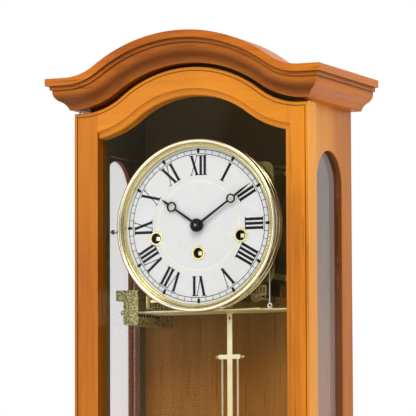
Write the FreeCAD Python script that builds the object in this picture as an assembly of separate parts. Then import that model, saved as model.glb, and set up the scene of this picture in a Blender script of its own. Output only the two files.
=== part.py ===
import FreeCAD, Part
import math
import os

# A wall clock with an arched cherry case, a glazed door, a three-train chiming movement and a pendulum.
# Millimetres. +Z is up, +Y points into the wall, and the origin is the keyhole of the wall hanger.
# Heights that follow the dial are measured from the dial's centre, and depths from a named face.

# Case
CASE_WIDTH = 269.0
CASE_DEPTH = 129.0
SIDE_THICKNESS = 14.0
BOARD_THICKNESS = 12.0
SIDE_LIP = 5.0
SIDE_GLASS = 3.0
SIDE_WINDOW_WIDTH = 75.4
SIDE_WINDOW_TOP = 84.5
SIDE_WINDOW_SILL = 50.0
SIDE_WINDOW_SHIFT = 3.5
SIDE_GLASS_MARGIN = 2.0
GLASS_MARGIN = 5.0
REBATE_CLEARANCE = 0.5
GLUE_LINE = 0.01
HANGER_TO_DIAL = 95.0
FLOOR_DROP = 4.0
HEADER_THICKNESS = 9.0
HEADER_SHOW = 6.0
HEADER_RISE = 12.0
ROOF_THICKNESS = 4.0
ROOF_SINK = 3.0

# Cornice and base moulding, as distances out from and up from the moulding's lower front edge
CORNICE_FRONT_LEAD = 5.5
CORNICE_RISE = 46.3
CORNICE_CROWN = 150.0
CORNICE_SHOULDER = 3.4
MOULDING_STANDOFF = 12.85
COVE_REACH = 7.4
COVE_HEIGHT = 9.0
OVOLO_REACH = 14.7
OVOLO_HEIGHT = 21.9
FILLET_REACH = 17.2
FILLET_HEIGHT = 4.4
CROWN_REACH = 21.2
CROWN_HEIGHT = 8.4
COVE_BELLY = (0.4, 0.62)
OVOLO_BELLY = (0.76, 0.36)
MITRE_SPARE = 1.0

# Door
DOOR_OVERLAP = 9.85
DOOR_THICKNESS = 22.0
DOOR_GAP = 0.6
DOOR_HEIGHT = 576.0
DOOR_TOP_GAP = 3.9
DOOR_RISE = 46.3
DOOR_CROWN = 138.0
DOOR_SHOULDER = 10.3
SHOULDER_TO_DIAL = 131.3
STILE_WIDTH = 29.65
TOP_RAIL = 31.5
BOTTOM_RAIL = 42.0
WINDOW_RISE = 46.5
WINDOW_CROWN = 112.0
WINDOW_ARCH_REACH = 22.3
EDGE_BEAD = 3.8
EDGE_ROUND = 1.9
QUIRK_WIDTH = 1.1
QUIRK_DEPTH = 1.6
LIP_WIDTH = 7.2
LIP_DROP = 3.6
LIP_COVE = 3.2
LIP_ROUND = 2.4
GLASS_SETBACK = 10.0
DOOR_GLASS = 2.5
PIVOT_INSET = 5.0
PIVOT_RADIUS = 2.5
TOP_PIVOT_RADIUS = 1.2
PIVOT_DEPTH = 12.0
PIVOT_COLLAR = 4.5
CATCH_RADIUS = 5.0
CATCH_DEPTH = 10.0
CATCH_PLATE = 1.0
CATCH_DROP = 157.0

# Hanger
HANGER_WIDTH = 60.0
HANGER_HEIGHT = 36.0
HANGER_THICKNESS = 2.0
KEYHOLE_RADIUS = 5.0
KEYHOLE_SLOT = 4.4
KEYHOLE_RISE = 11.0
KEYHOLE_POCKET = 6.0
KEYHOLE_ROOM = 1.0
KEYHOLE_HEADROOM = 3.0

# Fits
RUNNING_FIT = 0.05
SEAT_FIT = 0.02
AIR = 0.3
TOLERANCE = 1e-6

# Dial, bezel and hands
DIAL_INSET = 0.7
DIAL_RADIUS = 92.2
DIAL_THICKNESS = 1.0
DIAL_FOOT = 18.7
FOOT_RADIUS = 3.0
BEZEL_OVERHANG = 5.7
BEZEL_LAP = 3.2
BEZEL_SEAT = 0.05
BEZEL_LEAD = 9.4
BEZEL_RIM = 4.6
BEZEL_HOLLOW = 0.8
BEZEL_LIP = 2.0
BEZEL_LIP_DROP = 4.4
BEZEL_LIP_CROWN = 0.5
GROMMET_RADIUS = 8.3
GROMMET_HOLE = 6.0
GROMMET_WALL = 1.0
GROMMET_FLANGE = 1.2
GROMMET_BEVEL = 0.6
SIDE_HOLE_X = 52.0
SIDE_HOLE_Z = -12.8
TIME_HOLE_Z = -31.0
MINUTE_ANGLE = 55.4
HOUR_ANGLE = 304.6
MINUTE_LENGTH = 80.0
MINUTE_RING_AT = 50.6
MINUTE_RING = 5.4
HOUR_LENGTH = 55.0
HOUR_RING_AT = 39.3
HOUR_RING = 5.8
HAND_THICKNESS = 0.8
HAND_HUB = 6.8
HAND_FOOT = 3.2
HAND_STEM = 1.9
HAND_TIP = 2.6
HAND_TIP_AT = 0.4
HAND_RING_BAND = 1.7
HOUR_HAND_LEAD = 2.6
HAND_SPACING = 2.6
NUT_RADIUS = 7.4
NUT_HEIGHT = 4.0
NUT_BORE_DEPTH = 2.4
NUT_GRIP = 2.0
NUT_PROFILE = ((0.0, 1.0), (0.45, 0.95), (0.8, 0.72), (1.0, 0.3), (1.0, 0.0))

# The bezel's side, as distances in from its outer radius and back from the dial's face
BEZEL_SIDE = (
    (0.0, -2.6), (1.5, -1.8), (1.5, 2.0), (0.7, 2.6), (0.7, 4.6),
    (2.3, 5.2), (2.3, 12.0), (1.5, 12.6), (1.5, 14.0))

# Movement plates
PLATE_WIDTH = 168.0
PLATE_TOP = 71.0
PLATE_BOTTOM = 65.0
PLATE_THICKNESS = 2.0
PLATE_SPACE = 50.0
PLATE_CORNER = 10.0
PLATE_FRAME = 10.0
CUTOUT_WIDTH = 36.0
CUTOUT_HEIGHT = 39.0
PILLAR_INSET = 8.0
PILLAR_RADIUS = 3.0
PILLAR_COLLAR = 4.5
PILLAR_FOOT = 3.0
PILLAR_TAPER = 5.0
PILLAR_SWELL = 0.6
POST_RADIUS = 4.0
DIAL_FOOT_X = 28.0
DIAL_FOOT_TOP = 64.0
DIAL_FOOT_LOW = 57.0
DIAL_FOOT_LOW_X = 45.0

# Gears
PRESSURE_ANGLE = 25.0
BACKLASH = 0.14
ADDENDUM = 0.7
DEDENDUM = 1.0
PINION_LEAVES = 8
CANNON_TEETH = 12
MINUTE_TEETH = 36
MINUTE_PINION_TEETH = 10
HOUR_TEETH = 40
CANNON_MODULE = 0.9
INTERMEDIATE_TEETH = 40
INTERMEDIATE_MODULE = 1.1
GREAT_TEETH = 48
GREAT_MODULE = 0.9
CENTRE_TEETH = 80
CENTRE_MODULE = 0.58
THIRD_TEETH = 80
THIRD_MODULE = 0.5
ESCAPE_TEETH = 30
ESCAPE_RADIUS = 13.0
ESCAPE_TOOTH = 2.2
ESCAPE_LEAN = 0.55
ESCAPE_HEIGHT = 42.0
ANCHOR_HEIGHT = 60.0
PALLET_CLEARANCE = 2.0
PALLET_SPREAD = 52.0
PALLET_WIDTH = 1.6
PALLET_LAP = 0.5
ANCHOR_CROWN = 3.4
ANCHOR_WAIST = 2.2
ANCHOR_HALF = 4.0
ANCHOR_SHOULDER = 3.0
ANCHOR_ARMPIT = 4.4
WHEEL_THICKNESS = 1.5
PINION_MARGIN = 1.0
ARBOR_RADIUS = 1.6
PIVOT_END_RADIUS = 1.2
CENTRE_ARBOR_RADIUS = 2.0
CANNON_TUBE = 3.0
HOUR_PIPE = 4.2
STUD_RADIUS = 1.5
STUD_COLLAR = 1.5
STUD_SHOW = 0.5
STUD_END = 3.0
CENTRE_LEVEL = 3.0
INTERMEDIATE_LEVEL = 7.0
GREAT_LEVEL = 12.0
GREAT_THICKNESS = 2.4
THIRD_LEVEL = 26.0
ESCAPE_LEVEL = 40.0
BARREL_RADIUS = 19.5
BARREL_LENGTH = 31.0
BARREL_BEAD = 0.8
BARREL_BEAD_WIDTH = 3.0
WINDING_RADIUS = 3.0
WINDING_NECK = 1.9
WINDING_SQUARE = 4.4
WINDING_SETBACK = 4.6
WINDING_SHOULDER = 2.0
RATCHET_RADIUS = 9.0
RATCHET_TEETH = 20
RATCHET_TOOTH = 1.5
RATCHET_THICKNESS = 2.0
RATCHET_LEAN = 0.8
RATCHET_GAP = 0.6
MINUTE_WHEEL_STANDOFF = 2.0
HOUR_WHEEL_STANDOFF = 7.5

# Pendulum
PENDULUM_BEHIND_PLATE = 16.0
SPRING_BLOCK = 6.0
SPRING_LENGTH = 13.0
SPRING_LEAF = 0.3
SPRING_LEAF_WIDTH = 5.0
SUSPENSION_PIN = 0.8
CHEEK = 2.0
COCK_WIDTH = 24.0
COCK_ARM = 10.0
COCK_FOOT = 2.0
COCK_ROOM = 4.0
COCK_CHIN = 3.0
COCK_STEP = 1.0
LEADER_WIDTH = 6.0
LEADER_THICKNESS = 1.5
LEADER_END = 98.0
LEADER_BRIDGE = 2.0
LEADER_DROP = 3.0
CRUTCH_WIDTH = 4.0
CRUTCH_THICKNESS = 1.5
CRUTCH_PIN = 1.1
CRUTCH_DROP = 56.0
CRUTCH_SLOT = 16.0
CRUTCH_BEHIND_PLATE = 6.0
CRUTCH_EYE = 3.2
CRUTCH_PIN_REACH = 3.0
ROD_WIDTH = 6.3
ROD_THICKNESS = 1.8
ROD_TOP = 90.0
HOOK_AT = 94.5
HOOK_SLOT = 7.0
HOOK_REACH = 2.0
GRIDIRON_TOP = 144.0
GRIDIRON_FOOT = 255.0
GRIDIRON_WIDTH = 27.0
GRIDIRON_BAR = 5.0
GRIDIRON_DEPTH = 5.0
GRIDIRON_SPREAD = 9.6
GRIDIRON_ROD = 1.35
FINIAL_RADIUS = 1.9
FINIAL_NECK = 1.14
FINIAL_REACH = 2.66
BOB_CENTRE = 320.0
BOB_RADIUS = 52.0
BOB_RIM = 4.0
BOB_CROWN = 14.0
BOB_RIM_WIDTH = 3.0
BOB_SOCKET = 8.0
THREAD_LAP = 5.0
THREAD_RADIUS = 1.5
THREAD_REACH = 22.0
NUT_DROP = 3.0
RATING_NUT_RADIUS = 7.0
RATING_NUT_HEIGHT = 7.0
RATING_NUT_NECK = 4.2

# Chime
CHIME_BLOCK_WIDTH = 18.5
CHIME_BLOCK_RIGHT = 85.5
CHIME_BLOCK_TOP = 68.5
CHIME_BLOCK_HEIGHT = 39.5
CHIME_BLOCK_FRONT = 21.7
CHIME_BLOCK_BEVEL = 1.5
CHIME_BLOCK_LAP = 1.0
CHIME_LUG_REACH = 9.0
CHIME_LUG_HEIGHT = 12.0
CHIME_LUG_DEPTH = 14.0
CHIME_SCREW_RADIUS = 3.0
CHIME_SCREW_REACH = 5.0
CHIME_SCREW_BACK = 7.0
CHIME_ROD_COUNT = 8
CHIME_ROD_RADIUS = 1.35
CHIME_ROD_NECK = 0.7
CHIME_NECK_LENGTH = 9.0
CHIME_ROD_PITCH = 7.5
CHIME_ROD_DROP = 94.0
CHIME_ROD_FRONT = 23.7
CHIME_ROD_SEAT = 4.5
MELODY_ROD_LENGTH = 150.0
MELODY_ROD_STEP = 13.0
STRIKE_ROD_LENGTH = 195.0
STRIKE_ROD_STEP = -7.0
HAMMER_PIVOT_X = 62.0
HAMMER_PIVOT_DROP = 80.0
HAMMER_SHAFT = 2.0
HAMMER_HUB = 4.0
HAMMER_HUB_WIDTH = 3.0
HAMMER_ARM = 3.0
HAMMER_ARM_THICKNESS = 1.2
HAMMER_HEAD_RADIUS = 3.2
HAMMER_HEAD_HEIGHT = 13.0
HAMMER_TIP_RADIUS = 2.0
HAMMER_TIP_HEIGHT = 2.0
HAMMER_REST_GAP = 2.0
HAMMER_HEAD_X = 74.0
HAMMER_TAIL = 10.0
HAMMER_BAIL = 1.2
HAMMER_BAIL_END = 1.0
LUG_WIDTH = 14.0
MELODY_COUNT = 4

# Levers
SILENCE_PIVOT_X = 70.0
SILENCE_PIVOT_Z = -2.0
SILENCE_GAP = 4.0
SILENCE_WIDTH = 3.4
SILENCE_TIP = 2.4
SILENCE_KNOB = 2.6
SILENCE_KNOB_LEAD = 1.5
LEVER_STANDOFF = 2.7
LEVER_THICKNESS = 1.5
LIFT_WIRE_X = 79.0
LIFT_WIRE_TOP = 32.0
LIFT_WIRE_END = 89.0
LIFT_WIRE_RADIUS = 0.75
LIFT_WIRE_EYE = 2.2

V = FreeCAD.Vector
X_AXIS = V(1, 0, 0)
Y_AXIS = V(0, 1, 0)
Z_AXIS = V(0, 0, 1)

# Places worked out from the sizes above
DIAL_Z = -HANGER_TO_DIAL
CASE_HALF = CASE_WIDTH / 2
INNER_HALF = CASE_HALF - SIDE_THICKNESS
CASE_FRONT = -CASE_DEPTH
BOARD_FRONT = -BOARD_THICKNESS
DOOR_BACK = CASE_FRONT - DOOR_GAP
DOOR_FRONT = DOOR_BACK - DOOR_THICKNESS
DOOR_HALF = CASE_HALF + DOOR_OVERLAP
DOOR_SHOULDER_Z = DIAL_Z + SHOULDER_TO_DIAL
DOOR_BOTTOM = DOOR_SHOULDER_Z - DOOR_HEIGHT
WINDOW_HALF = DOOR_HALF - STILE_WIDTH
WINDOW_BOTTOM = DOOR_BOTTOM + BOTTOM_RAIL
CORNICE_Z = DOOR_SHOULDER_Z + DOOR_TOP_GAP
CORNICE_HALF = CASE_HALF + MOULDING_STANDOFF
CORNICE_FRONT = DOOR_FRONT - CORNICE_FRONT_LEAD
MOULDING_HEIGHT = OVOLO_HEIGHT + FILLET_HEIGHT + CROWN_HEIGHT
ROOF_TOP = MOULDING_HEIGHT - ROOF_SINK
ROOF_UNDER = ROOF_TOP - ROOF_THICKNESS
BASE_Z = DOOR_BOTTOM - DOOR_TOP_GAP
DIAL_Y = CASE_FRONT + DIAL_INSET
BEZEL_RADIUS = DIAL_RADIUS + BEZEL_OVERHANG
BEZEL_INNER = DIAL_RADIUS - BEZEL_LAP
PLATE_Y = DIAL_Y + DIAL_FOOT
TRAIN_Y = PLATE_Y + PLATE_THICKNESS
BACK_PLATE_Y = TRAIN_Y + PLATE_SPACE
REAR_Y = BACK_PLATE_Y + PLATE_THICKNESS
PENDULUM_Y = REAR_Y + PENDULUM_BEHIND_PLATE
ROD_Y = PENDULUM_Y - LEADER_THICKNESS / 2 - SEAT_FIT - ROD_THICKNESS / 2
PIVOT_X = -DOOR_HALF + PIVOT_INSET
PIVOT_Y = DOOR_FRONT + PIVOT_INSET
CATCH_X = CASE_HALF - SIDE_THICKNESS / 2
CATCH_Z = DIAL_Z - CATCH_DROP


class Arch:
    """Flat shoulders, a hollow sweep on each side and a round crown, all tangent."""

    def __init__(self, half_span, rise, crown_radius, shoulder_z):
        self.half_span = half_span
        self.rise = rise
        self.crown_radius = crown_radius
        self.shoulder_z = shoulder_z
        self.turn = 2 * math.atan2(rise, half_span)
        self.sweep_radius = half_span / math.sin(self.turn) - crown_radius

    def edges(self, half_width, y, offset=0.0):
        """The arch at depth y from left to right, moved outwards by offset."""
        sweep = self.sweep_radius - offset
        base = self.shoulder_z + offset

        def on_sweep(side, turn):
            return V(side * (self.half_span - sweep * math.sin(turn)), y, base + sweep * (1 - math.cos(turn)))

        crown = V(0, y, base + self.rise)
        left = [on_sweep(-1, self.turn * share) for share in (0, 0.5, 1)]
        right = [on_sweep(1, self.turn * share) for share in (1, 0.5, 0)]
        return [
            Part.makeLine(V(-half_width, y, base), left[0]),
            Part.Arc(*left).toShape(),
            Part.Arc(left[2], crown, right[0]).toShape(),
            Part.Arc(*right).toShape(),
            Part.makeLine(right[2], V(half_width, y, base)),
        ]

    def solid_under(self, half_width, front, back, floor, offset=0.0):
        """Everything under the arch down to a flat floor."""
        base = self.shoulder_z + offset
        sides = Part.makePolygon([
            V(half_width, front, base),
            V(half_width, front, floor),
            V(-half_width, front, floor),
            V(-half_width, front, base),
        ])
        wire = Part.Wire(Part.__sortEdges__(self.edges(half_width, front, offset) + sides.Edges))
        return Part.Face(wire).extrude(V(0, back - front, 0))


CORNICE_ARCH = Arch(CORNICE_HALF - CORNICE_SHOULDER, CORNICE_RISE, CORNICE_CROWN, CORNICE_Z)
DOOR_ARCH = Arch(DOOR_HALF - DOOR_SHOULDER, DOOR_RISE, DOOR_CROWN, DOOR_SHOULDER_Z)
WINDOW_ARCH = Arch(
    WINDOW_HALF + WINDOW_ARCH_REACH,
    WINDOW_RISE,
    WINDOW_CROWN,
    DOOR_SHOULDER_Z + DOOR_RISE - TOP_RAIL - WINDOW_RISE,
)


def block(x0, x1, y0, y1, z0, z1):
    return Part.makeBox(x1 - x0, y1 - y0, z1 - z0, V(x0, y0, z0))


def rod_y(x, z, radius, y0, y1):
    return Part.makeCylinder(radius, y1 - y0, V(x, y0, z), Y_AXIS)


def rod_x(y, z, radius, x0, x1):
    return Part.makeCylinder(radius, x1 - x0, V(x0, y, z), X_AXIS)


def rod_z(x, y, radius, z0, z1):
    return Part.makeCylinder(radius, z1 - z0, V(x, y, z0), Z_AXIS)


def turned(x, z, profile):
    """A closed profile of (radius, y) points turned about the Y line through x, z."""
    points = [V(x + radius, y, z) for radius, y in profile]
    face = Part.Face(Part.makePolygon(points + points[:1]))
    return face.revolve(V(x, 0, z), Y_AXIS, 360)


def panel_y(points, y0, y1):
    """A flat plate cut to (x, z) points."""
    corners = [V(x, y0, z) for x, z in points]
    return Part.Face(Part.makePolygon(corners + corners[:1])).extrude(V(0, y1 - y0, 0))


def rounded_panel(x0, x1, z0, z1, radius, y0, y1):
    """A flat plate with round corners."""
    plate = block(x0, x1, y0, y1, z0, z1)
    corners = [edge for edge in plate.Edges if abs(edge.tangentAt(edge.FirstParameter).y) > 0.5]
    return plate.makeFillet(radius, corners)


def joined(shapes):
    """One solid from pieces that touch or overlap."""
    return shapes[0].fuse(shapes[1:]).removeSplitter()


def meeting_point(first, first_reach, second, second_reach, side):
    """Where two arbors' centre distances meet, on the chosen side of the line between them."""
    dx = second[0] - first[0]
    dz = second[1] - first[1]
    span = math.hypot(dx, dz)
    along = (first_reach ** 2 - second_reach ** 2 + span ** 2) / (2 * span)
    across = side * math.sqrt(first_reach ** 2 - along ** 2)
    return (
        first[0] + (dx * along + dz * across) / span,
        first[1] + (dz * along - dx * across) / span,
    )


class Gear:
    """An involute wheel or pinion on a Y axis. Angles run clockwise from the top, seen from the front."""

    def __init__(self, place, teeth, module, phase=0.0):
        self.place = place
        self.teeth = teeth
        self.module = module
        self.phase = phase
        self.pitch_radius = teeth * module / 2
        self.pitch = 2 * math.pi / teeth

    def mesh_with(self, other):
        """Turns this gear so that its gaps take the other gear's teeth."""
        toward = math.atan2(self.place[0] - other.place[0], self.place[1] - other.place[1])
        teeth_past = (toward - other.phase) / other.pitch
        self.phase = toward + math.pi - self.pitch * (0.5 - teeth_past)
        return self

    def solid(self, y0, y1, bore):
        pressure = math.radians(PRESSURE_ANGLE)
        base = self.pitch_radius * math.cos(pressure)
        tip = self.pitch_radius + ADDENDUM * self.module
        root = self.pitch_radius - DEDENDUM * self.module
        half_tooth = math.pi / (2 * self.teeth) - BACKLASH / (2 * self.pitch_radius)
        half_base = half_tooth + math.tan(pressure) - pressure

        def half_angle(radius):
            if radius <= base:
                return half_base
            roll = math.acos(base / radius)
            return half_base - math.tan(roll) + roll

        flank = [root, tip] if root > base else [root, base, self.pitch_radius, tip]
        points = []
        for tooth in range(self.teeth):
            middle = self.phase + tooth * self.pitch
            rising = [(radius, middle - half_angle(radius)) for radius in flank]
            falling = [(radius, middle + half_angle(radius)) for radius in reversed(flank)]
            for radius, angle in rising + falling:
                x = self.place[0] + radius * math.sin(angle)
                z = self.place[1] + radius * math.cos(angle)
                points.append((x, z))
        return panel_y(points, y0, y1).cut(rod_y(*self.place, bore, y0, y1))


def saw_wheel(place, teeth, radius, depth, lean, y0, y1):
    """A wheel of pointed teeth that lean one way."""
    points = []
    for tooth in range(teeth):
        tip_angle = 2 * math.pi * tooth / teeth
        root_angle = tip_angle + lean * 2 * math.pi / teeth
        for reach, angle in ((radius, tip_angle), (radius - depth, root_angle)):
            points.append((place[0] + reach * math.sin(angle), place[1] + reach * math.cos(angle)))
    return panel_y(points, y0, y1)


# Arbor places in the movement, as (x, z)
CENTRE = (0.0, DIAL_Z)
TIME_ARBOR = (0.0, DIAL_Z + TIME_HOLE_Z)
STRIKE_ARBOR = (-SIDE_HOLE_X, DIAL_Z + SIDE_HOLE_Z)
CHIME_ARBOR = (SIDE_HOLE_X, DIAL_Z + SIDE_HOLE_Z)
WINDING_ARBORS = (TIME_ARBOR, STRIKE_ARBOR, CHIME_ARBOR)
ESCAPE = (0.0, DIAL_Z + ESCAPE_HEIGHT)
ANCHOR = (0.0, DIAL_Z + ANCHOR_HEIGHT)
INTERMEDIATE = meeting_point(
    CENTRE, (PINION_LEAVES + INTERMEDIATE_TEETH) * INTERMEDIATE_MODULE / 2,
    TIME_ARBOR, (PINION_LEAVES + GREAT_TEETH) * GREAT_MODULE / 2, -1)
THIRD = meeting_point(
    CENTRE, (PINION_LEAVES + CENTRE_TEETH) * CENTRE_MODULE / 2,
    ESCAPE, (PINION_LEAVES + THIRD_TEETH) * THIRD_MODULE / 2, -1)
MOTION_REACH = (CANNON_TEETH + MINUTE_TEETH) * CANNON_MODULE / 2
MINUTE_POST = (-MOTION_REACH * math.sqrt(0.5), DIAL_Z + MOTION_REACH * math.sqrt(0.5))
HOUR_MODULE = 2 * MOTION_REACH / (MINUTE_PINION_TEETH + HOUR_TEETH)

# Wheels and pinions in mesh at rest
cannon_gear = Gear(CENTRE, CANNON_TEETH, CANNON_MODULE)
minute_gear = Gear(MINUTE_POST, MINUTE_TEETH, CANNON_MODULE).mesh_with(cannon_gear)
minute_pinion = Gear(MINUTE_POST, MINUTE_PINION_TEETH, HOUR_MODULE)
hour_gear = Gear(CENTRE, HOUR_TEETH, HOUR_MODULE).mesh_with(minute_pinion)
centre_pinion = Gear(CENTRE, PINION_LEAVES, INTERMEDIATE_MODULE)
intermediate_gear = Gear(INTERMEDIATE, INTERMEDIATE_TEETH, INTERMEDIATE_MODULE).mesh_with(centre_pinion)
intermediate_pinion = Gear(INTERMEDIATE, PINION_LEAVES, GREAT_MODULE)
great_gear = Gear(TIME_ARBOR, GREAT_TEETH, GREAT_MODULE).mesh_with(intermediate_pinion)
centre_gear = Gear(CENTRE, CENTRE_TEETH, CENTRE_MODULE)
third_pinion = Gear(THIRD, PINION_LEAVES, CENTRE_MODULE).mesh_with(centre_gear)
third_gear = Gear(THIRD, THIRD_TEETH, THIRD_MODULE)
escape_pinion = Gear(ESCAPE, PINION_LEAVES, THIRD_MODULE).mesh_with(third_gear)

PILLARS = [
    (side * (PLATE_WIDTH / 2 - PILLAR_INSET), DIAL_Z + height)
    for side in (-1, 1)
    for height in (PLATE_TOP - PILLAR_INSET, -PLATE_BOTTOM + PILLAR_INSET)
]
DIAL_FEET = [
    (side * x, DIAL_Z + z)
    for side in (-1, 1)
    for x, z in ((DIAL_FOOT_X, DIAL_FOOT_TOP), (DIAL_FOOT_LOW_X, -DIAL_FOOT_LOW))
]
HAMMER_PIVOT = (HAMMER_PIVOT_X, DIAL_Z - HAMMER_PIVOT_DROP)
CHIME_ROWS = [DIAL_Y + CHIME_ROD_FRONT + row * CHIME_ROD_PITCH for row in range(CHIME_ROD_COUNT)]
CHIME_ROD_Z = DIAL_Z - CHIME_ROD_DROP


def moulding_wire(back, place):
    """The cove, ovolo, fillet and crown of the cornice. place puts (reach, height) into space."""
    ovolo_top = OVOLO_HEIGHT
    fillet_top = ovolo_top + FILLET_HEIGHT
    cove_middle = (COVE_REACH * COVE_BELLY[0], COVE_HEIGHT * COVE_BELLY[1])
    ovolo_middle = (
        COVE_REACH + (OVOLO_REACH - COVE_REACH) * OVOLO_BELLY[0],
        COVE_HEIGHT + (ovolo_top - COVE_HEIGHT) * OVOLO_BELLY[1],
    )
    cove = Part.Arc(place(0, 0), place(*cove_middle), place(COVE_REACH, COVE_HEIGHT)).toShape()
    ovolo = Part.Arc(
        place(COVE_REACH, COVE_HEIGHT), place(*ovolo_middle), place(OVOLO_REACH, ovolo_top)).toShape()
    rest = Part.makePolygon([
        place(OVOLO_REACH, ovolo_top),
        place(FILLET_REACH, ovolo_top),
        place(FILLET_REACH, fillet_top),
        place(CROWN_REACH, fillet_top),
        place(CROWN_REACH, MOULDING_HEIGHT),
        place(-back, MOULDING_HEIGHT),
        place(-back, 0),
        place(0, 0),
    ])
    return Part.Wire(Part.__sortEdges__([cove, ovolo] + rest.Edges))


def mitre_prism(points, z0, z1):
    """An upright prism over a plan of (x, y) points, for cutting mitres."""
    corners = [V(x, y, z0) for x, y in points]
    return Part.Face(Part.makePolygon(corners + corners[:1])).extrude(V(0, 0, z1 - z0))


MITRE_MARGIN = CROWN_REACH + MITRE_SPARE
FRONT_BACKING = CASE_FRONT - CORNICE_FRONT


def front_plan():
    """Plan of a front moulding: mitred at both ends, then square back to the case."""
    outer = CORNICE_HALF + MITRE_MARGIN
    mitre_end = CORNICE_FRONT + MOULDING_STANDOFF
    return [
        (-outer, CORNICE_FRONT - MITRE_MARGIN),
        (outer, CORNICE_FRONT - MITRE_MARGIN),
        (CASE_HALF, mitre_end),
        (CASE_HALF, CASE_FRONT),
        (-CASE_HALF, CASE_FRONT),
        (-CASE_HALF, mitre_end),
    ]


def return_plan(side):
    """Plan of a moulding's side length, from its mitre back to the wall."""
    outer = side * (CORNICE_HALF + MITRE_MARGIN)
    inner = side * CASE_HALF
    return [
        (inner, CORNICE_FRONT + MOULDING_STANDOFF),
        (outer, CORNICE_FRONT - MITRE_MARGIN),
        (outer, 0),
        (inner, 0),
    ]


def moulding_return(side, z, direction):
    """A side length of cornice (direction 1) or base (direction -1)."""
    wire = moulding_wire(
        MOULDING_STANDOFF,
        lambda reach, height: V(
            side * (CORNICE_HALF + reach), CORNICE_FRONT - MITRE_MARGIN, z + direction * height))
    run = Part.Face(wire).extrude(V(0, -CORNICE_FRONT + MITRE_MARGIN, 0))
    low, high = sorted((z, z + direction * MOULDING_HEIGHT))
    run = run.common(mitre_prism(return_plan(side), low, high))
    return run.cut(pivot_seat(z, direction))


def pivot_seat(z, direction):
    """The hole for a door pivot, up into the cornice or down into the base."""
    low, high = sorted((z, z + direction * PIVOT_DEPTH))
    radius = TOP_PIVOT_RADIUS if direction > 0 else PIVOT_RADIUS
    return rod_z(PIVOT_X, PIVOT_Y, radius + SEAT_FIT, low, high)


def cornice_front():
    end = CORNICE_HALF + MITRE_MARGIN
    path = Part.Wire(CORNICE_ARCH.edges(end, CORNICE_FRONT))
    wire = moulding_wire(
        FRONT_BACKING, lambda reach, height: V(-end, CORNICE_FRONT - reach, CORNICE_Z + height))
    sweep = Part.BRepOffsetAPI.MakePipeShell(path)
    sweep.setBiNormalMode(Y_AXIS)
    sweep.add(wire)
    sweep.build()
    sweep.makeSolid()
    top = CORNICE_Z + CORNICE_RISE + MOULDING_HEIGHT
    front = sweep.shape().common(mitre_prism(front_plan(), CORNICE_Z, top))
    return front.cut(pivot_seat(CORNICE_Z, 1))


def base_moulding():
    end = CORNICE_HALF + MITRE_MARGIN
    wire = moulding_wire(
        FRONT_BACKING, lambda reach, height: V(-end, CORNICE_FRONT - reach, BASE_Z - height))
    front = Part.Face(wire).extrude(V(2 * end, 0, 0))
    front = front.common(mitre_prism(front_plan(), BASE_Z - MOULDING_HEIGHT, BASE_Z))
    front = front.cut(pivot_seat(BASE_Z, -1))
    return [front] + [moulding_return(side, BASE_Z, -1) for side in (-1, 1)]


def cornice_roof():
    """A flat board that lies on the sides, behind the header rail and between the returns."""
    front = CASE_FRONT + HEADER_THICKNESS
    return block(-CASE_HALF, CASE_HALF, front, 0, CORNICE_Z + ROOF_UNDER, CORNICE_Z + ROOF_TOP)


SIDE_TOP = CORNICE_Z + ROOF_UNDER
SIDE_BOTTOM = BASE_Z - MOULDING_HEIGHT
FLOOR_TOP = BASE_Z - FLOOR_DROP
SIDE_WINDOW_Y = (CASE_FRONT + BOARD_FRONT) / 2 + SIDE_WINDOW_SHIFT
SIDE_WINDOW_LOW = DOOR_BOTTOM + SIDE_WINDOW_SILL


def side_window(x0, x1):
    """The arched window through a side panel."""
    radius = SIDE_WINDOW_WIDTH / 2
    spring = DIAL_Z + SIDE_WINDOW_TOP - radius
    straight = block(x0, x1, SIDE_WINDOW_Y - radius, SIDE_WINDOW_Y + radius, SIDE_WINDOW_LOW, spring)
    return straight.fuse(rod_x(SIDE_WINDOW_Y, spring, radius, x0, x1)).removeSplitter()


def side_pane(x0, x1, margin):
    """A square-topped slab that covers a side window by margin, for the pane and its rebate."""
    half = SIDE_WINDOW_WIDTH / 2 + margin
    top = DIAL_Z + SIDE_WINDOW_TOP + margin
    return block(x0, x1, SIDE_WINDOW_Y - half, SIDE_WINDOW_Y + half, SIDE_WINDOW_LOW - margin, top)


def side_span(side, near, far):
    """Low and high x of a slice of a side panel, measured in from its outer face."""
    return sorted((side * (CASE_HALF - near), side * (CASE_HALF - far)))


def side_panel(side):
    x0, x1 = side_span(side, 0, SIDE_THICKNESS)
    panel = block(x0, x1, CASE_FRONT, 0, SIDE_BOTTOM, SIDE_TOP)
    panel = panel.cut(side_window(x0, x1))
    rebate = side_span(side, SIDE_LIP, SIDE_THICKNESS)
    panel = panel.cut(side_pane(*rebate, SIDE_GLASS_MARGIN + REBATE_CLEARANCE))
    if side > 0:
        panel = panel.cut(rod_y(
            CATCH_X, CATCH_Z, CATCH_RADIUS + SEAT_FIT, CASE_FRONT, CASE_FRONT + CATCH_DEPTH))
    return panel


def side_glasses():
    spans = [side_span(side, SIDE_LIP, SIDE_LIP + SIDE_GLASS) for side in (-1, 1)]
    return [side_pane(*span, SIDE_GLASS_MARGIN) for span in spans]


def back_board():
    board = block(-INNER_HALF, INNER_HALF, BOARD_FRONT, 0, FLOOR_TOP, SIDE_TOP)
    board = board.cut(hanger_blank())
    room = KEYHOLE_RADIUS + KEYHOLE_ROOM
    deep = -HANGER_THICKNESS - KEYHOLE_POCKET
    pocket = rod_y(0, 0, room, deep, 0)
    slot = block(-room, room, deep, 0, 0, KEYHOLE_RISE + KEYHOLE_HEADROOM)
    return board.cut(pocket).cut(slot)


def hanger_blank():
    low = -HANGER_HEIGHT / 2
    return block(-HANGER_WIDTH / 2, HANGER_WIDTH / 2, -HANGER_THICKNESS, 0, low, low + HANGER_HEIGHT)


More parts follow.
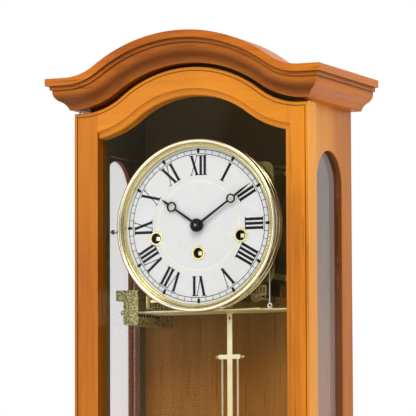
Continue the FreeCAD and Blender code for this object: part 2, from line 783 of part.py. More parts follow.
def hanger_plate():
    half_slot = KEYHOLE_SLOT / 2
    slot = block(-half_slot, half_slot, -HANGER_THICKNESS, 0, 0, KEYHOLE_RISE)
    slot_end = rod_y(0, KEYHOLE_RISE, half_slot, -HANGER_THICKNESS, 0)
    entry = rod_y(0, 0, KEYHOLE_RADIUS, -HANGER_THICKNESS, 0)
    return hanger_blank().cut(slot).cut(slot_end).cut(entry)


def floor_board():
    return block(-INNER_HALF, INNER_HALF, CASE_FRONT, 0, FLOOR_TOP - BOARD_THICKNESS, FLOOR_TOP)


def header_rail():
    back = CASE_FRONT + HEADER_THICKNESS
    rail = CORNICE_ARCH.solid_under(CORNICE_HALF, CASE_FRONT, back, DIAL_Z, HEADER_RISE)
    reach = WINDOW_ARCH.half_span + MITRE_SPARE
    opening = WINDOW_ARCH.solid_under(reach, CASE_FRONT, back, DIAL_Z, HEADER_SHOW)
    low = WINDOW_ARCH.shoulder_z + HEADER_SHOW
    limits = block(-INNER_HALF, INNER_HALF, CASE_FRONT, back, low, SIDE_TOP + CORNICE_RISE)
    return rail.cut(opening).common(limits)


def window_prism(front, back, margin):
    """The door's arched window, made larger by margin."""
    half = WINDOW_HALF + margin
    low = WINDOW_BOTTOM - margin
    arch = WINDOW_ARCH.solid_under(WINDOW_ARCH.half_span + margin + MITRE_SPARE, front, back, low, margin)
    return arch.common(block(-half, half, front, back, low, DOOR_SHOULDER_Z + DOOR_RISE))


def door_outline(front, back, inset):
    return DOOR_ARCH.solid_under(DOOR_HALF - inset, front, back, DOOR_BOTTOM + inset, -inset)


def edges_at(shape, y):
    """The edges of a shape that lie in one upright plane across the depth."""
    return [
        edge for edge in shape.Edges
        if all(abs(vertex.Point.y - y) < TOLERANCE for vertex in edge.Vertexes)
    ]


def door_frame():
    """The door's frame in one piece, before it is cut into stiles and rails."""
    level = DOOR_FRONT + LIP_DROP
    opening = window_prism(level, DOOR_BACK, 0)
    backing = door_outline(level, DOOR_BACK, 0).cut(opening)
    lip = [edge for edge in edges_at(backing, level) if opening.distToShape(edge)[0] < TOLERANCE]
    backing = backing.makeFillet(LIP_ROUND, lip)

    face = door_outline(DOOR_FRONT, level, 0)
    face = face.makeFillet(EDGE_ROUND, edges_at(face, DOOR_FRONT))
    quirk_floor = DOOR_FRONT + QUIRK_DEPTH
    quirk = door_outline(DOOR_FRONT, quirk_floor, EDGE_BEAD).cut(
        door_outline(DOOR_FRONT, quirk_floor, EDGE_BEAD + QUIRK_WIDTH))
    hollow = window_prism(DOOR_FRONT, level, LIP_WIDTH)
    hollow = hollow.makeFillet(LIP_COVE, edges_at(hollow, level))

    glass_front = DOOR_FRONT + GLASS_SETBACK
    groove = window_prism(glass_front, glass_front + DOOR_GLASS + SEAT_FIT, GLASS_MARGIN + REBATE_CLEARANCE)
    return joined([backing, face.cut(quirk).cut(hollow)]).cut(groove)


def door_pieces():
    frame = door_frame()
    high = DOOR_SHOULDER_Z + DOOR_RISE
    middle = (WINDOW_BOTTOM + DIAL_Z) / 2
    left = frame.common(block(-DOOR_HALF, -WINDOW_HALF, DOOR_FRONT, DOOR_BACK, DOOR_BOTTOM, high))
    right = frame.common(block(WINDOW_HALF, DOOR_HALF, DOOR_FRONT, DOOR_BACK, DOOR_BOTTOM, high))
    rail_half = WINDOW_HALF - GLUE_LINE
    top = frame.common(block(-rail_half, rail_half, DOOR_FRONT, DOOR_BACK, middle, high))
    bottom = frame.common(block(-rail_half, rail_half, DOOR_FRONT, DOOR_BACK, DOOR_BOTTOM, middle))
    for low, radius in ((DOOR_SHOULDER_Z - PIVOT_DEPTH, TOP_PIVOT_RADIUS), (DOOR_BOTTOM, PIVOT_RADIUS)):
        left = left.cut(rod_z(PIVOT_X, PIVOT_Y, radius + RUNNING_FIT, low, low + PIVOT_DEPTH))
    plate_pocket = rod_y(CATCH_X, CATCH_Z, CATCH_RADIUS + SEAT_FIT, DOOR_BACK - CATCH_PLATE, DOOR_BACK)
    return left, right.cut(plate_pocket), top, bottom


def door_glass():
    front = DOOR_FRONT + GLASS_SETBACK
    return window_prism(front, front + DOOR_GLASS, GLASS_MARGIN)


def door_pivots():
    """A slim pin above the door, and below it a stouter one whose collar carries the door."""
    buried = PIVOT_DEPTH - AIR
    top = rod_z(PIVOT_X, PIVOT_Y, TOP_PIVOT_RADIUS, DOOR_SHOULDER_Z - buried, CORNICE_Z + buried)
    foot = rod_z(PIVOT_X, PIVOT_Y, PIVOT_RADIUS, BASE_Z - buried, DOOR_BOTTOM + buried)
    collar = rod_z(PIVOT_X, PIVOT_Y, PIVOT_COLLAR, BASE_Z, DOOR_BOTTOM - RUNNING_FIT)
    return [top, joined([foot, collar])]


def door_catch():
    return rod_y(CATCH_X, CATCH_Z, CATCH_RADIUS, CASE_FRONT, CASE_FRONT + CATCH_DEPTH)


def catch_plate():
    return rod_y(CATCH_X, CATCH_Z, CATCH_RADIUS, DOOR_BACK - CATCH_PLATE, DOOR_BACK)


def dial_plate():
    back = DIAL_Y + DIAL_THICKNESS
    plate = rod_y(*CENTRE, DIAL_RADIUS, DIAL_Y, back)
    for place in WINDING_ARBORS:
        plate = plate.cut(rod_y(*place, GROMMET_HOLE + GROMMET_WALL + SEAT_FIT, DIAL_Y, back))
    plate = plate.cut(rod_y(*CENTRE, HOUR_PIPE + AIR, DIAL_Y, back))
    return joined([plate] + [rod_y(*foot, FOOT_RADIUS, back, PLATE_Y) for foot in DIAL_FEET])


def winding_grommets():
    front = DIAL_Y - GROMMET_FLANGE
    back = DIAL_Y + DIAL_THICKNESS
    neck = GROMMET_HOLE + GROMMET_WALL
    profile = [
        (GROMMET_HOLE, front),
        (GROMMET_RADIUS - GROMMET_BEVEL, front),
        (GROMMET_RADIUS, front + GROMMET_BEVEL),
        (GROMMET_RADIUS, DIAL_Y),
        (neck, DIAL_Y),
        (neck, back),
        (GROMMET_HOLE, back),
    ]
    return [turned(*place, profile) for place in WINDING_ARBORS]


def bezel():
    """A ring with a round outer rim, a hollow, a thin inner lip and a stepped side that holds the dial."""
    front = DIAL_Y - BEZEL_LEAD
    rim_back = front + BEZEL_RIM / 2
    rim_inner = BEZEL_RADIUS - BEZEL_RIM
    lip_outer = BEZEL_INNER + BEZEL_LIP
    lip_front = front + BEZEL_LIP_DROP
    lip_inner = lip_front + BEZEL_LIP_CROWN

    def at(radius, y):
        return V(radius, y, DIAL_Z)

    rim = Part.Arc(
        at(BEZEL_RADIUS, rim_back),
        at(BEZEL_RADIUS - BEZEL_RIM / 2, front),
        at(rim_inner, rim_back)).toShape()
    hollow = Part.Arc(
        at(rim_inner, rim_back),
        at((rim_inner + lip_outer) / 2, (rim_back + lip_front) / 2 + BEZEL_HOLLOW),
        at(lip_outer, lip_front)).toShape()
    lip = Part.Arc(
        at(lip_outer, lip_front),
        at(BEZEL_INNER + BEZEL_LIP / 2, lip_front - BEZEL_LIP_CROWN),
        at(BEZEL_INNER, lip_inner)).toShape()
    seat = DIAL_RADIUS + BEZEL_SEAT
    side = [at(BEZEL_RADIUS - inset, DIAL_Y + back) for inset, back in BEZEL_SIDE]
    tail = side[-1].y
    rest = Part.makePolygon(
        [at(BEZEL_RADIUS, rim_back)] + side + [
            at(seat, tail), at(seat, DIAL_Y), at(BEZEL_INNER, DIAL_Y), at(BEZEL_INNER, lip_inner)])
    wire = Part.Wire(Part.__sortEdges__([rim, hollow, lip] + rest.Edges))
    return Part.Face(wire).revolve(V(0, 0, DIAL_Z), Y_AXIS, 360)


def hand(length, ring_at, ring, bore, y0):
    """A ring hand pointing at twelve."""
    x, z = CENTRE
    y1 = y0 + HAND_THICKNESS
    foot = HAND_FOOT / 2
    stem = HAND_STEM / 2
    tip = HAND_TIP / 2
    ring_z = z + ring_at
    widest = ring_z + ring + (length - ring_at - ring) * HAND_TIP_AT
    outline = joined([
        rod_y(x, z, HAND_HUB, y0, y1),
        panel_y([(x - foot, z), (x - stem, ring_z), (x + stem, ring_z), (x + foot, z)], y0, y1),
        panel_y([
            (x - stem, ring_z), (x - tip, widest), (x, z + length),
            (x + tip, widest), (x + stem, ring_z)], y0, y1),
        rod_y(x, ring_z, ring, y0, y1),
    ])
    return outline.cut(rod_y(x, ring_z, ring - HAND_RING_BAND, y0, y1)).cut(rod_y(x, z, bore, y0, y1))


HOUR_HAND_Y = DIAL_Y - HOUR_HAND_LEAD
MINUTE_HAND_Y = HOUR_HAND_Y - HAND_SPACING
NUT_Y = MINUTE_HAND_Y


def turned_to(shape, angle):
    """Turns a piece about the dial's centre, clockwise from the front."""
    return shape.rotate(V(0, 0, DIAL_Z), Y_AXIS, angle) or shape


def minute_hand():
    shape = hand(MINUTE_LENGTH, MINUTE_RING_AT, MINUTE_RING, CANNON_TUBE + SEAT_FIT, MINUTE_HAND_Y)
    return turned_to(shape, MINUTE_ANGLE)


def hour_hand():
    shape = hand(HOUR_LENGTH, HOUR_RING_AT, HOUR_RING, HOUR_PIPE + SEAT_FIT, HOUR_HAND_Y)
    return turned_to(shape, HOUR_ANGLE)


def hand_nut():
    bore = CENTRE_ARBOR_RADIUS + SEAT_FIT
    dome = [(NUT_RADIUS * out, NUT_Y - NUT_HEIGHT * up) for out, up in NUT_PROFILE]
    bottom = NUT_Y - NUT_BORE_DEPTH
    return turned(*CENTRE, dome + [(bore, NUT_Y), (bore, bottom), (0, bottom)])


def movement_plate(y0, holes):
    """A brass plate with open upper corners and a lug that carries the hammer shaft."""
    y1 = y0 + PLATE_THICKNESS
    half = PLATE_WIDTH / 2
    top = DIAL_Z + PLATE_TOP
    bottom = DIAL_Z - PLATE_BOTTOM
    plate = rounded_panel(-half, half, bottom, top, PLATE_CORNER, y0, y1)
    for side in (-1, 1):
        x0, x1 = sorted((side * (half - PLATE_FRAME), side * (half - PLATE_FRAME - CUTOUT_WIDTH)))
        cutout = rounded_panel(
            x0, x1, top - PLATE_FRAME - CUTOUT_HEIGHT, top - PLATE_FRAME, PLATE_CORNER / 2, y0, y1)
        plate = plate.cut(cutout)
    pivot_x, pivot_z = HAMMER_PIVOT
    lug = block(pivot_x - LUG_WIDTH / 2, pivot_x + LUG_WIDTH / 2, y0, y1, pivot_z, bottom + PLATE_CORNER)
    plate = joined([plate, lug, rod_y(pivot_x, pivot_z, LUG_WIDTH / 2, y0, y1)])
    plate = plate.cut(rod_y(pivot_x, pivot_z, HAMMER_SHAFT + SEAT_FIT, y0, y1))
    for place, radius in holes:
        plate = plate.cut(rod_y(*place, radius + RUNNING_FIT, y0, y1))
    return plate


TRAIN_PIVOTS = [(place, PIVOT_END_RADIUS) for place in (INTERMEDIATE, THIRD, ESCAPE)]
WINDING_HOLES = [(place, WINDING_RADIUS) for place in WINDING_ARBORS]
LEVER_Y = PLATE_Y - LEVER_STANDOFF
SILENCE_PIVOT = (-SILENCE_PIVOT_X, DIAL_Z + SILENCE_PIVOT_Z)


def front_plate():
    holes = TRAIN_PIVOTS + WINDING_HOLES + [(CENTRE, CENTRE_ARBOR_RADIUS), (ANCHOR, PIVOT_END_RADIUS)]
    plate = movement_plate(PLATE_Y, holes)
    minute_stud = rod_y(*MINUTE_POST, STUD_RADIUS, PLATE_Y - HOUR_WHEEL_STANDOFF - STUD_END, PLATE_Y)
    silence_stud = rod_y(*SILENCE_PIVOT, STUD_RADIUS, LEVER_Y - STUD_SHOW, PLATE_Y)
    return joined([plate, minute_stud, silence_stud])


def back_plate():
    holes = TRAIN_PIVOTS + WINDING_HOLES + [(CENTRE, PIVOT_END_RADIUS), (ANCHOR, ARBOR_RADIUS)]
    return movement_plate(BACK_PLATE_Y, holes)


def plate_pillars():
    middle = (TRAIN_Y + BACK_PLATE_Y) / 2
    return [
        turned(*place, [
            (0, TRAIN_Y),
            (PILLAR_COLLAR, TRAIN_Y),
            (PILLAR_COLLAR, TRAIN_Y + PILLAR_FOOT),
            (PILLAR_RADIUS, TRAIN_Y + PILLAR_TAPER),
            (PILLAR_RADIUS + PILLAR_SWELL, middle),
            (PILLAR_RADIUS, BACK_PLATE_Y - PILLAR_TAPER),
            (PILLAR_COLLAR, BACK_PLATE_Y - PILLAR_FOOT),
            (PILLAR_COLLAR, BACK_PLATE_Y),
            (0, BACK_PLATE_Y),
        ])
        for place in PILLARS
    ]


def mounting_posts():
    return [rod_y(*place, POST_RADIUS, REAR_Y, BOARD_FRONT) for place in PILLARS]


def plain_arbor(place, radius):
    """An arbor with a pivot in each plate."""
    body = rod_y(*place, radius, TRAIN_Y + AIR, BACK_PLATE_Y - AIR)
    return joined([body, rod_y(*place, PIVOT_END_RADIUS, PLATE_Y, REAR_Y)])


def level(distance, thickness=WHEEL_THICKNESS):
    """Front and back of a wheel that far behind the front plate."""
    return TRAIN_Y + distance, TRAIN_Y + distance + thickness


def pinion_level(distance, thickness=WHEEL_THICKNESS):
    """Front and back of a pinion that takes a wheel at that distance."""
    return TRAIN_Y + distance - PINION_MARGIN, TRAIN_Y + distance + thickness + PINION_MARGIN


def centre_wheel():
    x, z = CENTRE
    body = rod_y(x, z, CENTRE_ARBOR_RADIUS, NUT_Y - NUT_GRIP, BACK_PLATE_Y - AIR)
    end = rod_y(x, z, PIVOT_END_RADIUS, BACK_PLATE_Y - AIR, REAR_Y)
    bore = CENTRE_ARBOR_RADIUS / 2
    wheel = centre_gear.solid(*level(CENTRE_LEVEL), bore)
    pinion = centre_pinion.solid(*pinion_level(INTERMEDIATE_LEVEL), bore)
    return joined([body, end, wheel, pinion])


def intermediate_wheel():
    bore = ARBOR_RADIUS / 2
    wheel = intermediate_gear.solid(*level(INTERMEDIATE_LEVEL), bore)
    pinion = intermediate_pinion.solid(*pinion_level(GREAT_LEVEL, GREAT_THICKNESS), bore)
    return joined([plain_arbor(INTERMEDIATE, ARBOR_RADIUS), wheel, pinion])


def third_wheel():
    bore = PIVOT_END_RADIUS / 2
    wheel = third_gear.solid(*level(THIRD_LEVEL), bore)
    pinion = third_pinion.solid(*pinion_level(CENTRE_LEVEL), bore)
    return joined([plain_arbor(THIRD, PIVOT_END_RADIUS), wheel, pinion])


def escape_wheel():
    pinion = escape_pinion.solid(*pinion_level(THIRD_LEVEL), PIVOT_END_RADIUS / 2)
    wheel = saw_wheel(ESCAPE, ESCAPE_TEETH, ESCAPE_RADIUS, ESCAPE_TOOTH, ESCAPE_LEAN, *level(ESCAPE_LEVEL))
    return joined([plain_arbor(ESCAPE, PIVOT_END_RADIUS), pinion, wheel])


def anchor():
    """Pallets over the escape wheel, with the crutch behind the back plate."""
    x, z = ANCHOR
    y0, y1 = level(ESCAPE_LEVEL - PALLET_LAP, WHEEL_THICKNESS + 2 * PALLET_LAP)
    reach = ESCAPE_RADIUS + PALLET_CLEARANCE
    spread = math.radians(PALLET_SPREAD)
    tip_x = reach * math.sin(spread)
    tip_z = z - ANCHOR_HEIGHT + ESCAPE_HEIGHT + reach * math.cos(spread)
    outer = tip_x + PALLET_WIDTH
    right = [
        (ANCHOR_HALF, ANCHOR_CROWN),
        (outer, -ANCHOR_SHOULDER),
        (outer, tip_z - z + PALLET_WIDTH / 2),
        (tip_x, tip_z - z),
        (tip_x - PALLET_WIDTH / 2, -ANCHOR_ARMPIT),
        (ANCHOR_SHOULDER, -ANCHOR_WAIST),
    ]
    outline = right + [(-across, up) for across, up in reversed(right)]
    crutch_back = REAR_Y + CRUTCH_BEHIND_PLATE
    crutch_front = crutch_back - CRUTCH_THICKNESS
    half = CRUTCH_WIDTH / 2
    pin_z = z - CRUTCH_DROP
    return joined([
        rod_y(x, z, PIVOT_END_RADIUS, PLATE_Y, TRAIN_Y + AIR),
        rod_y(x, z, ARBOR_RADIUS, TRAIN_Y + AIR, crutch_back),
        panel_y([(x + across, z + up) for across, up in outline], y0, y1),
        block(x - half, x + half, crutch_front, crutch_back, pin_z - half, z),
        rod_y(x, z, CRUTCH_EYE, crutch_front, crutch_back),
        rod_y(x, pin_z, CRUTCH_PIN, crutch_front, PENDULUM_Y + CRUTCH_PIN_REACH),
    ])


def barrel(gear):
    """A spring barrel with its great wheel at the front end."""
    y0, y1 = level(GREAT_LEVEL, GREAT_THICKNESS)
    bore = WINDING_RADIUS + RUNNING_FIT
    wheel = gear.solid(y0, y1, bore)
    back = y1 + BARREL_LENGTH
    bead = back - BARREL_BEAD_WIDTH
    drum = turned(*gear.place, [
        (bore, y1),
        (BARREL_RADIUS, y1),
        (BARREL_RADIUS, bead),
        (BARREL_RADIUS + BARREL_BEAD, bead),
        (BARREL_RADIUS + BARREL_BEAD, back),
        (bore, back),
    ])
    return joined([wheel, drum])


def winding_arbor(place):
    """A winding arbor: square at the dial, ratchet before the front plate, round in the barrel."""
    ratchet_back = PLATE_Y - RATCHET_GAP
    ratchet_front = ratchet_back - RATCHET_THICKNESS
    shoulder = ratchet_front - WINDING_SHOULDER
    half = WINDING_SQUARE / 2
    x, z = place
    return joined([
        rod_y(x, z, WINDING_RADIUS, shoulder, TRAIN_Y + AIR),
        rod_y(x, z, WINDING_NECK, TRAIN_Y + AIR, TRAIN_Y + GREAT_LEVEL - AIR),
        rod_y(x, z, WINDING_RADIUS, TRAIN_Y + GREAT_LEVEL - AIR, REAR_Y),
        saw_wheel(
            place, RATCHET_TEETH, RATCHET_RADIUS, RATCHET_TOOTH, RATCHET_LEAN, ratchet_front, ratchet_back),
        block(x - half, x + half, DIAL_Y + WINDING_SETBACK, shoulder, z - half, z + half),
    ])


def cannon_pinion():
    """A tube on the centre arbor: pinion at the front plate, minute hand at its front end."""
    bore = CENTRE_ARBOR_RADIUS + SEAT_FIT
    back = PLATE_Y - AIR
    front = PLATE_Y - MINUTE_WHEEL_STANDOFF - WHEEL_THICKNESS - PINION_MARGIN
    pinion = cannon_gear.solid(front, back, bore)
    tube = turned(*CENTRE, [
        (bore, NUT_Y), (CANNON_TUBE, NUT_Y), (CANNON_TUBE, back), (bore, back)])
    return joined([pinion, tube])


def minute_wheel():
    """The motion work's second wheel on its stud, with the pinion that drives the hour wheel."""
    bore = STUD_RADIUS + RUNNING_FIT
    wheel_back = PLATE_Y - MINUTE_WHEEL_STANDOFF
    wheel_front = wheel_back - WHEEL_THICKNESS
    pinion_front = PLATE_Y - HOUR_WHEEL_STANDOFF - WHEEL_THICKNESS - PINION_MARGIN
    collar = rod_y(*MINUTE_POST, STUD_RADIUS + STUD_COLLAR, wheel_back, PLATE_Y - AIR)
    collar = collar.cut(rod_y(*MINUTE_POST, bore, wheel_back, PLATE_Y))
    return joined([
        minute_gear.solid(wheel_front, wheel_back, bore),
        minute_pinion.solid(pinion_front, wheel_front, bore),
        collar,
    ])


def hour_wheel():
    """The hour wheel and the pipe that carries the hour hand."""
    bore = CANNON_TUBE + RUNNING_FIT
    back = PLATE_Y - HOUR_WHEEL_STANDOFF
    front = back - WHEEL_THICKNESS
    pipe = turned(*CENTRE, [
        (bore, HOUR_HAND_Y), (HOUR_PIPE, HOUR_HAND_Y), (HOUR_PIPE, front), (bore, front)])
    return joined([hour_gear.solid(front, back, bore), pipe])


PIN_Z = ANCHOR[1]
BLOCK_HALF = SPRING_BLOCK / 2
CHEEK_INNER = BLOCK_HALF + AIR
LOW_PIN_Z = PIN_Z - SPRING_LENGTH - SPRING_BLOCK


def suspension_cock():
    """A bracket on the back plate whose two cheeks carry the suspension pin."""
    low = PIN_Z + COCK_ROOM
    top = DIAL_Z + PLATE_TOP
    half = COCK_ARM / 2
    outer = CHEEK_INNER + CHEEK
    foot = block(-COCK_WIDTH / 2, COCK_WIDTH / 2, REAR_Y, REAR_Y + COCK_FOOT, low, top)
    arm = block(-half, half, REAR_Y, PENDULUM_Y + outer, low, top - COCK_STEP)
    cheeks = [
        block(-half, half, y0, y0 + CHEEK, PIN_Z - COCK_CHIN, low)
        for y0 in (PENDULUM_Y - outer, PENDULUM_Y + CHEEK_INNER)
    ]
    hole = rod_y(0, PIN_Z, SUSPENSION_PIN + RUNNING_FIT, PENDULUM_Y - outer, PENDULUM_Y + outer)
    return joined([foot, arm] + cheeks).cut(hole)


def suspension_spring():
    """Two pinned blocks joined by a thin leaf. It hangs on its upper pin."""
    pieces = []
    reach = CHEEK_INNER + CHEEK
    for z in (PIN_Z, LOW_PIN_Z):
        pieces.append(block(
            -BLOCK_HALF, BLOCK_HALF,
            PENDULUM_Y - BLOCK_HALF, PENDULUM_Y + BLOCK_HALF,
            z - BLOCK_HALF, z + BLOCK_HALF))
        pieces.append(rod_y(0, z, SUSPENSION_PIN, PENDULUM_Y - reach, PENDULUM_Y + reach))
    leaf = SPRING_LEAF / 2
    width = SPRING_LEAF_WIDTH / 2
    pieces.append(block(-leaf, leaf, PENDULUM_Y - width, PENDULUM_Y + width, LOW_PIN_Z, PIN_Z))
    return joined(pieces)


def pendulum_leader():
    """A strip that hangs on the spring, takes the crutch in a slot and carries the pendulum on a hook."""
    half = LEADER_WIDTH / 2
    y0 = PENDULUM_Y - LEADER_THICKNESS / 2
    y1 = PENDULUM_Y + LEADER_THICKNESS / 2
    outer = CHEEK_INNER + CHEEK
    bridge_low = LOW_PIN_Z - BLOCK_HALF - LEADER_DROP
    pieces = [
        block(-half, half, y0, y1, DIAL_Z - LEADER_END, bridge_low),
        block(-half, half, PENDULUM_Y - outer, PENDULUM_Y + outer, bridge_low, bridge_low + LEADER_BRIDGE),
    ]
    for cheek_y in (PENDULUM_Y - outer, PENDULUM_Y + CHEEK_INNER):
        pieces.append(block(-half, half, cheek_y, cheek_y + CHEEK, bridge_low, LOW_PIN_Z + BLOCK_HALF))
    pieces.append(rod_y(0, DIAL_Z - HOOK_AT, CRUTCH_PIN, ROD_Y - ROD_THICKNESS / 2 - HOOK_REACH, y0))
    leader = joined(pieces).cut(
        rod_y(0, LOW_PIN_Z, SUSPENSION_PIN + SEAT_FIT, PENDULUM_Y - outer, PENDULUM_Y + outer))
    slot_half = CRUTCH_PIN + AIR
    slot_middle = PIN_Z - CRUTCH_DROP
    slot = block(-slot_half, slot_half, y0, y1, slot_middle - CRUTCH_SLOT / 2, slot_middle + CRUTCH_SLOT / 2)
    return leader.cut(slot)


def pendulum_rod():
    """The flat rod: hook slot at the top, threaded end below the bob."""
    half = ROD_WIDTH / 2
    y0 = ROD_Y - ROD_THICKNESS / 2
    y1 = ROD_Y + ROD_THICKNESS / 2
    bob_bottom = DIAL_Z - BOB_CENTRE - BOB_RADIUS
    flat_end = bob_bottom + BOB_SOCKET
    flat = block(-half, half, y0, y1, flat_end, DIAL_Z - ROD_TOP)
    slot_half = CRUTCH_PIN + SEAT_FIT
    hook_z = DIAL_Z - HOOK_AT
    slot = block(-slot_half, slot_half, y0, y1, hook_z - HOOK_SLOT, hook_z)
    slot = slot.fuse(rod_y(0, hook_z, slot_half, y0, y1))
    thread = rod_z(0, ROD_Y, THREAD_RADIUS, bob_bottom - THREAD_REACH, flat_end + THREAD_LAP)
    return joined([flat.cut(slot), thread])


def gridiron_bar(height):
    """A cross bar with ball ends, slotted for the flat rod and bored for the side rods."""
    z = DIAL_Z - height
    half = GRIDIRON_WIDTH / 2
    deep = GRIDIRON_DEPTH / 2
    bar = block(-half, half, ROD_Y - deep, ROD_Y + deep, z - GRIDIRON_BAR / 2, z + GRIDIRON_BAR / 2)
    pieces = [bar]
    for side in (-1, 1):
        x0, x1 = sorted((side * half, side * (half + FINIAL_RADIUS)))
        pieces.append(rod_x(ROD_Y, z, FINIAL_NECK, x0, x1))
        pieces.append(Part.makeSphere(FINIAL_RADIUS, V(side * (half + FINIAL_REACH), ROD_Y, z)))
    return joined(pieces).cut(rod_slot(z - GRIDIRON_BAR, z + GRIDIRON_BAR))


def rod_slot(z0, z1):
    """Room for the flat rod in a piece that it passes through."""
    half = ROD_WIDTH / 2 + SEAT_FIT
    deep = ROD_THICKNESS / 2 + SEAT_FIT
    return block(-half, half, ROD_Y - deep, ROD_Y + deep, z0, z1)


def gridiron():
    top = DIAL_Z - GRIDIRON_TOP - GRIDIRON_BAR / 2
    foot = DIAL_Z - GRIDIRON_FOOT + GRIDIRON_BAR / 2
    rods = [rod_z(side * GRIDIRON_SPREAD, ROD_Y, GRIDIRON_ROD, foot, top) for side in (-1, 1)]
    return [gridiron_bar(GRIDIRON_TOP), gridiron_bar(GRIDIRON_FOOT)] + rods


def pendulum_bob():
    """A brass lens with a narrow rim, slotted for the rod."""
    z = DIAL_Z - BOB_CENTRE
    half_rim = BOB_RIM / 2
    half_crown = BOB_CROWN / 2
    dome = BOB_RADIUS - BOB_RIM_WIDTH
    swell = half_crown - half_rim
    ball = (dome ** 2 + swell ** 2) / (2 * swell)
    lens = rod_y(0, z, dome, ROD_Y - half_crown, ROD_Y + half_crown)
    for side in (-1, 1):
        lens = lens.common(Part.makeSphere(ball, V(0, ROD_Y + side * (ball - half_crown), z)))
    bob = joined([lens, rod_y(0, z, BOB_RADIUS, ROD_Y - half_rim, ROD_Y + half_rim)])
    low = z - BOB_RADIUS
    thread_hole = rod_z(0, ROD_Y, THREAD_RADIUS + SEAT_FIT, low, low + BOB_SOCKET + THREAD_LAP)
    return bob.cut(rod_slot(low + BOB_SOCKET, z + BOB_RADIUS)).cut(thread_hole)


def rating_nut():
    top = DIAL_Z - BOB_CENTRE - BOB_RADIUS - AIR
    bore = THREAD_RADIUS + RUNNING_FIT
    low = top - RATING_NUT_HEIGHT
    nut = rod_z(0, ROD_Y, RATING_NUT_RADIUS, low, top - NUT_DROP)
    neck = rod_z(0, ROD_Y, RATING_NUT_NECK, top - NUT_DROP, top)
    return joined([nut, neck]).cut(rod_z(0, ROD_Y, bore, low, top))


def chime_block():
    """A cast block on the back board that the chime rods are driven into."""
    left = -CHIME_BLOCK_RIGHT - CHIME_BLOCK_WIDTH
    right = -CHIME_BLOCK_RIGHT
    front = DIAL_Y + CHIME_BLOCK_FRONT
    top = DIAL_Z - CHIME_BLOCK_TOP
    bottom = top - CHIME_BLOCK_HEIGHT
    bevel = CHIME_BLOCK_BEVEL
    bar = panel_y([
        (left, top), (right, top), (right, bottom + bevel), (right - bevel, bottom), (left + bevel, bottom),
        (left, bottom + bevel)], front, BOARD_FRONT)
    lap = left + CHIME_BLOCK_LAP
    lug = block(left - CHIME_LUG_REACH, lap, front, front + CHIME_LUG_DEPTH, top - CHIME_LUG_HEIGHT, top)
    screw = rod_x(front + CHIME_SCREW_BACK, CHIME_ROD_Z, CHIME_SCREW_RADIUS, left - CHIME_SCREW_REACH, lap)
    casting = joined([bar, lug, screw])
    for y in CHIME_ROWS:
        casting = casting.cut(rod_x(y, CHIME_ROD_Z, CHIME_ROD_NECK + SEAT_FIT, right - CHIME_ROD_SEAT, right))
    return casting


def chime_rods():
    """Eight rods, each thinned where it enters the block."""
    rods = []
    root = -CHIME_BLOCK_RIGHT
    for row, y in enumerate(CHIME_ROWS):
        if row < MELODY_COUNT:
            length = MELODY_ROD_LENGTH + row * MELODY_ROD_STEP
        else:
            length = STRIKE_ROD_LENGTH + (row - MELODY_COUNT) * STRIKE_ROD_STEP
        full = root + CHIME_NECK_LENGTH
        neck = rod_x(y, CHIME_ROD_Z, CHIME_ROD_NECK, root - CHIME_ROD_SEAT, full)
        taper = Part.makeCone(
            CHIME_ROD_NECK, CHIME_ROD_RADIUS, CHIME_NECK_LENGTH / 2,
            V(root + CHIME_NECK_LENGTH / 2, y, CHIME_ROD_Z), X_AXIS)
        rods.append(joined([neck, taper, rod_x(y, CHIME_ROD_Z, CHIME_ROD_RADIUS, full, root + length)]))
    return rods


def hammer(y):
    """Hub, arm, brass head and soft tip of one hammer, resting just above its rod."""
    pivot_x, pivot_z = HAMMER_PIVOT
    half_hub = HAMMER_HUB_WIDTH / 2
    half_arm = HAMMER_ARM_THICKNESS / 2
    tip_z = CHIME_ROD_Z + CHIME_ROD_RADIUS + HAMMER_REST_GAP
    head_z = tip_z + HAMMER_TIP_HEIGHT
    arm = panel_y([
        (-HAMMER_HEAD_X, head_z + HAMMER_HEAD_HEIGHT / 2 - HAMMER_ARM / 2),
        (pivot_x + HAMMER_TAIL, pivot_z - HAMMER_ARM / 2),
        (pivot_x + HAMMER_TAIL, pivot_z + HAMMER_ARM / 2),
        (-HAMMER_HEAD_X, head_z + HAMMER_HEAD_HEIGHT / 2 + HAMMER_ARM / 2),
    ], y - half_arm, y + half_arm)
    pieces = [
        rod_y(pivot_x, pivot_z, HAMMER_HUB, y - half_hub, y + half_hub),
        arm,
        rod_z(-HAMMER_HEAD_X, y, HAMMER_HEAD_RADIUS, head_z, head_z + HAMMER_HEAD_HEIGHT),
        rod_z(-HAMMER_HEAD_X, y, HAMMER_TIP_RADIUS, tip_z, head_z),
    ]
    return joined(pieces).cut(rod_y(pivot_x, pivot_z, HAMMER_SHAFT + RUNNING_FIT, y - half_hub, y + half_hub))


def strike_hammers():
    """Four hammers on one bail, which strike the hour together."""
    rows = CHIME_ROWS[MELODY_COUNT:]
    pivot_x, pivot_z = HAMMER_PIVOT
    end = HAMMER_BAIL_END
    bail = rod_y(pivot_x + HAMMER_TAIL, pivot_z, HAMMER_BAIL, rows[0] - end, rows[-1] + end)
    return joined([hammer(y) for y in rows] + [bail])


def hammer_shaft():
    return rod_y(*HAMMER_PIVOT, HAMMER_SHAFT, PLATE_Y, CHIME_ROWS[-1] + HAMMER_HUB_WIDTH)


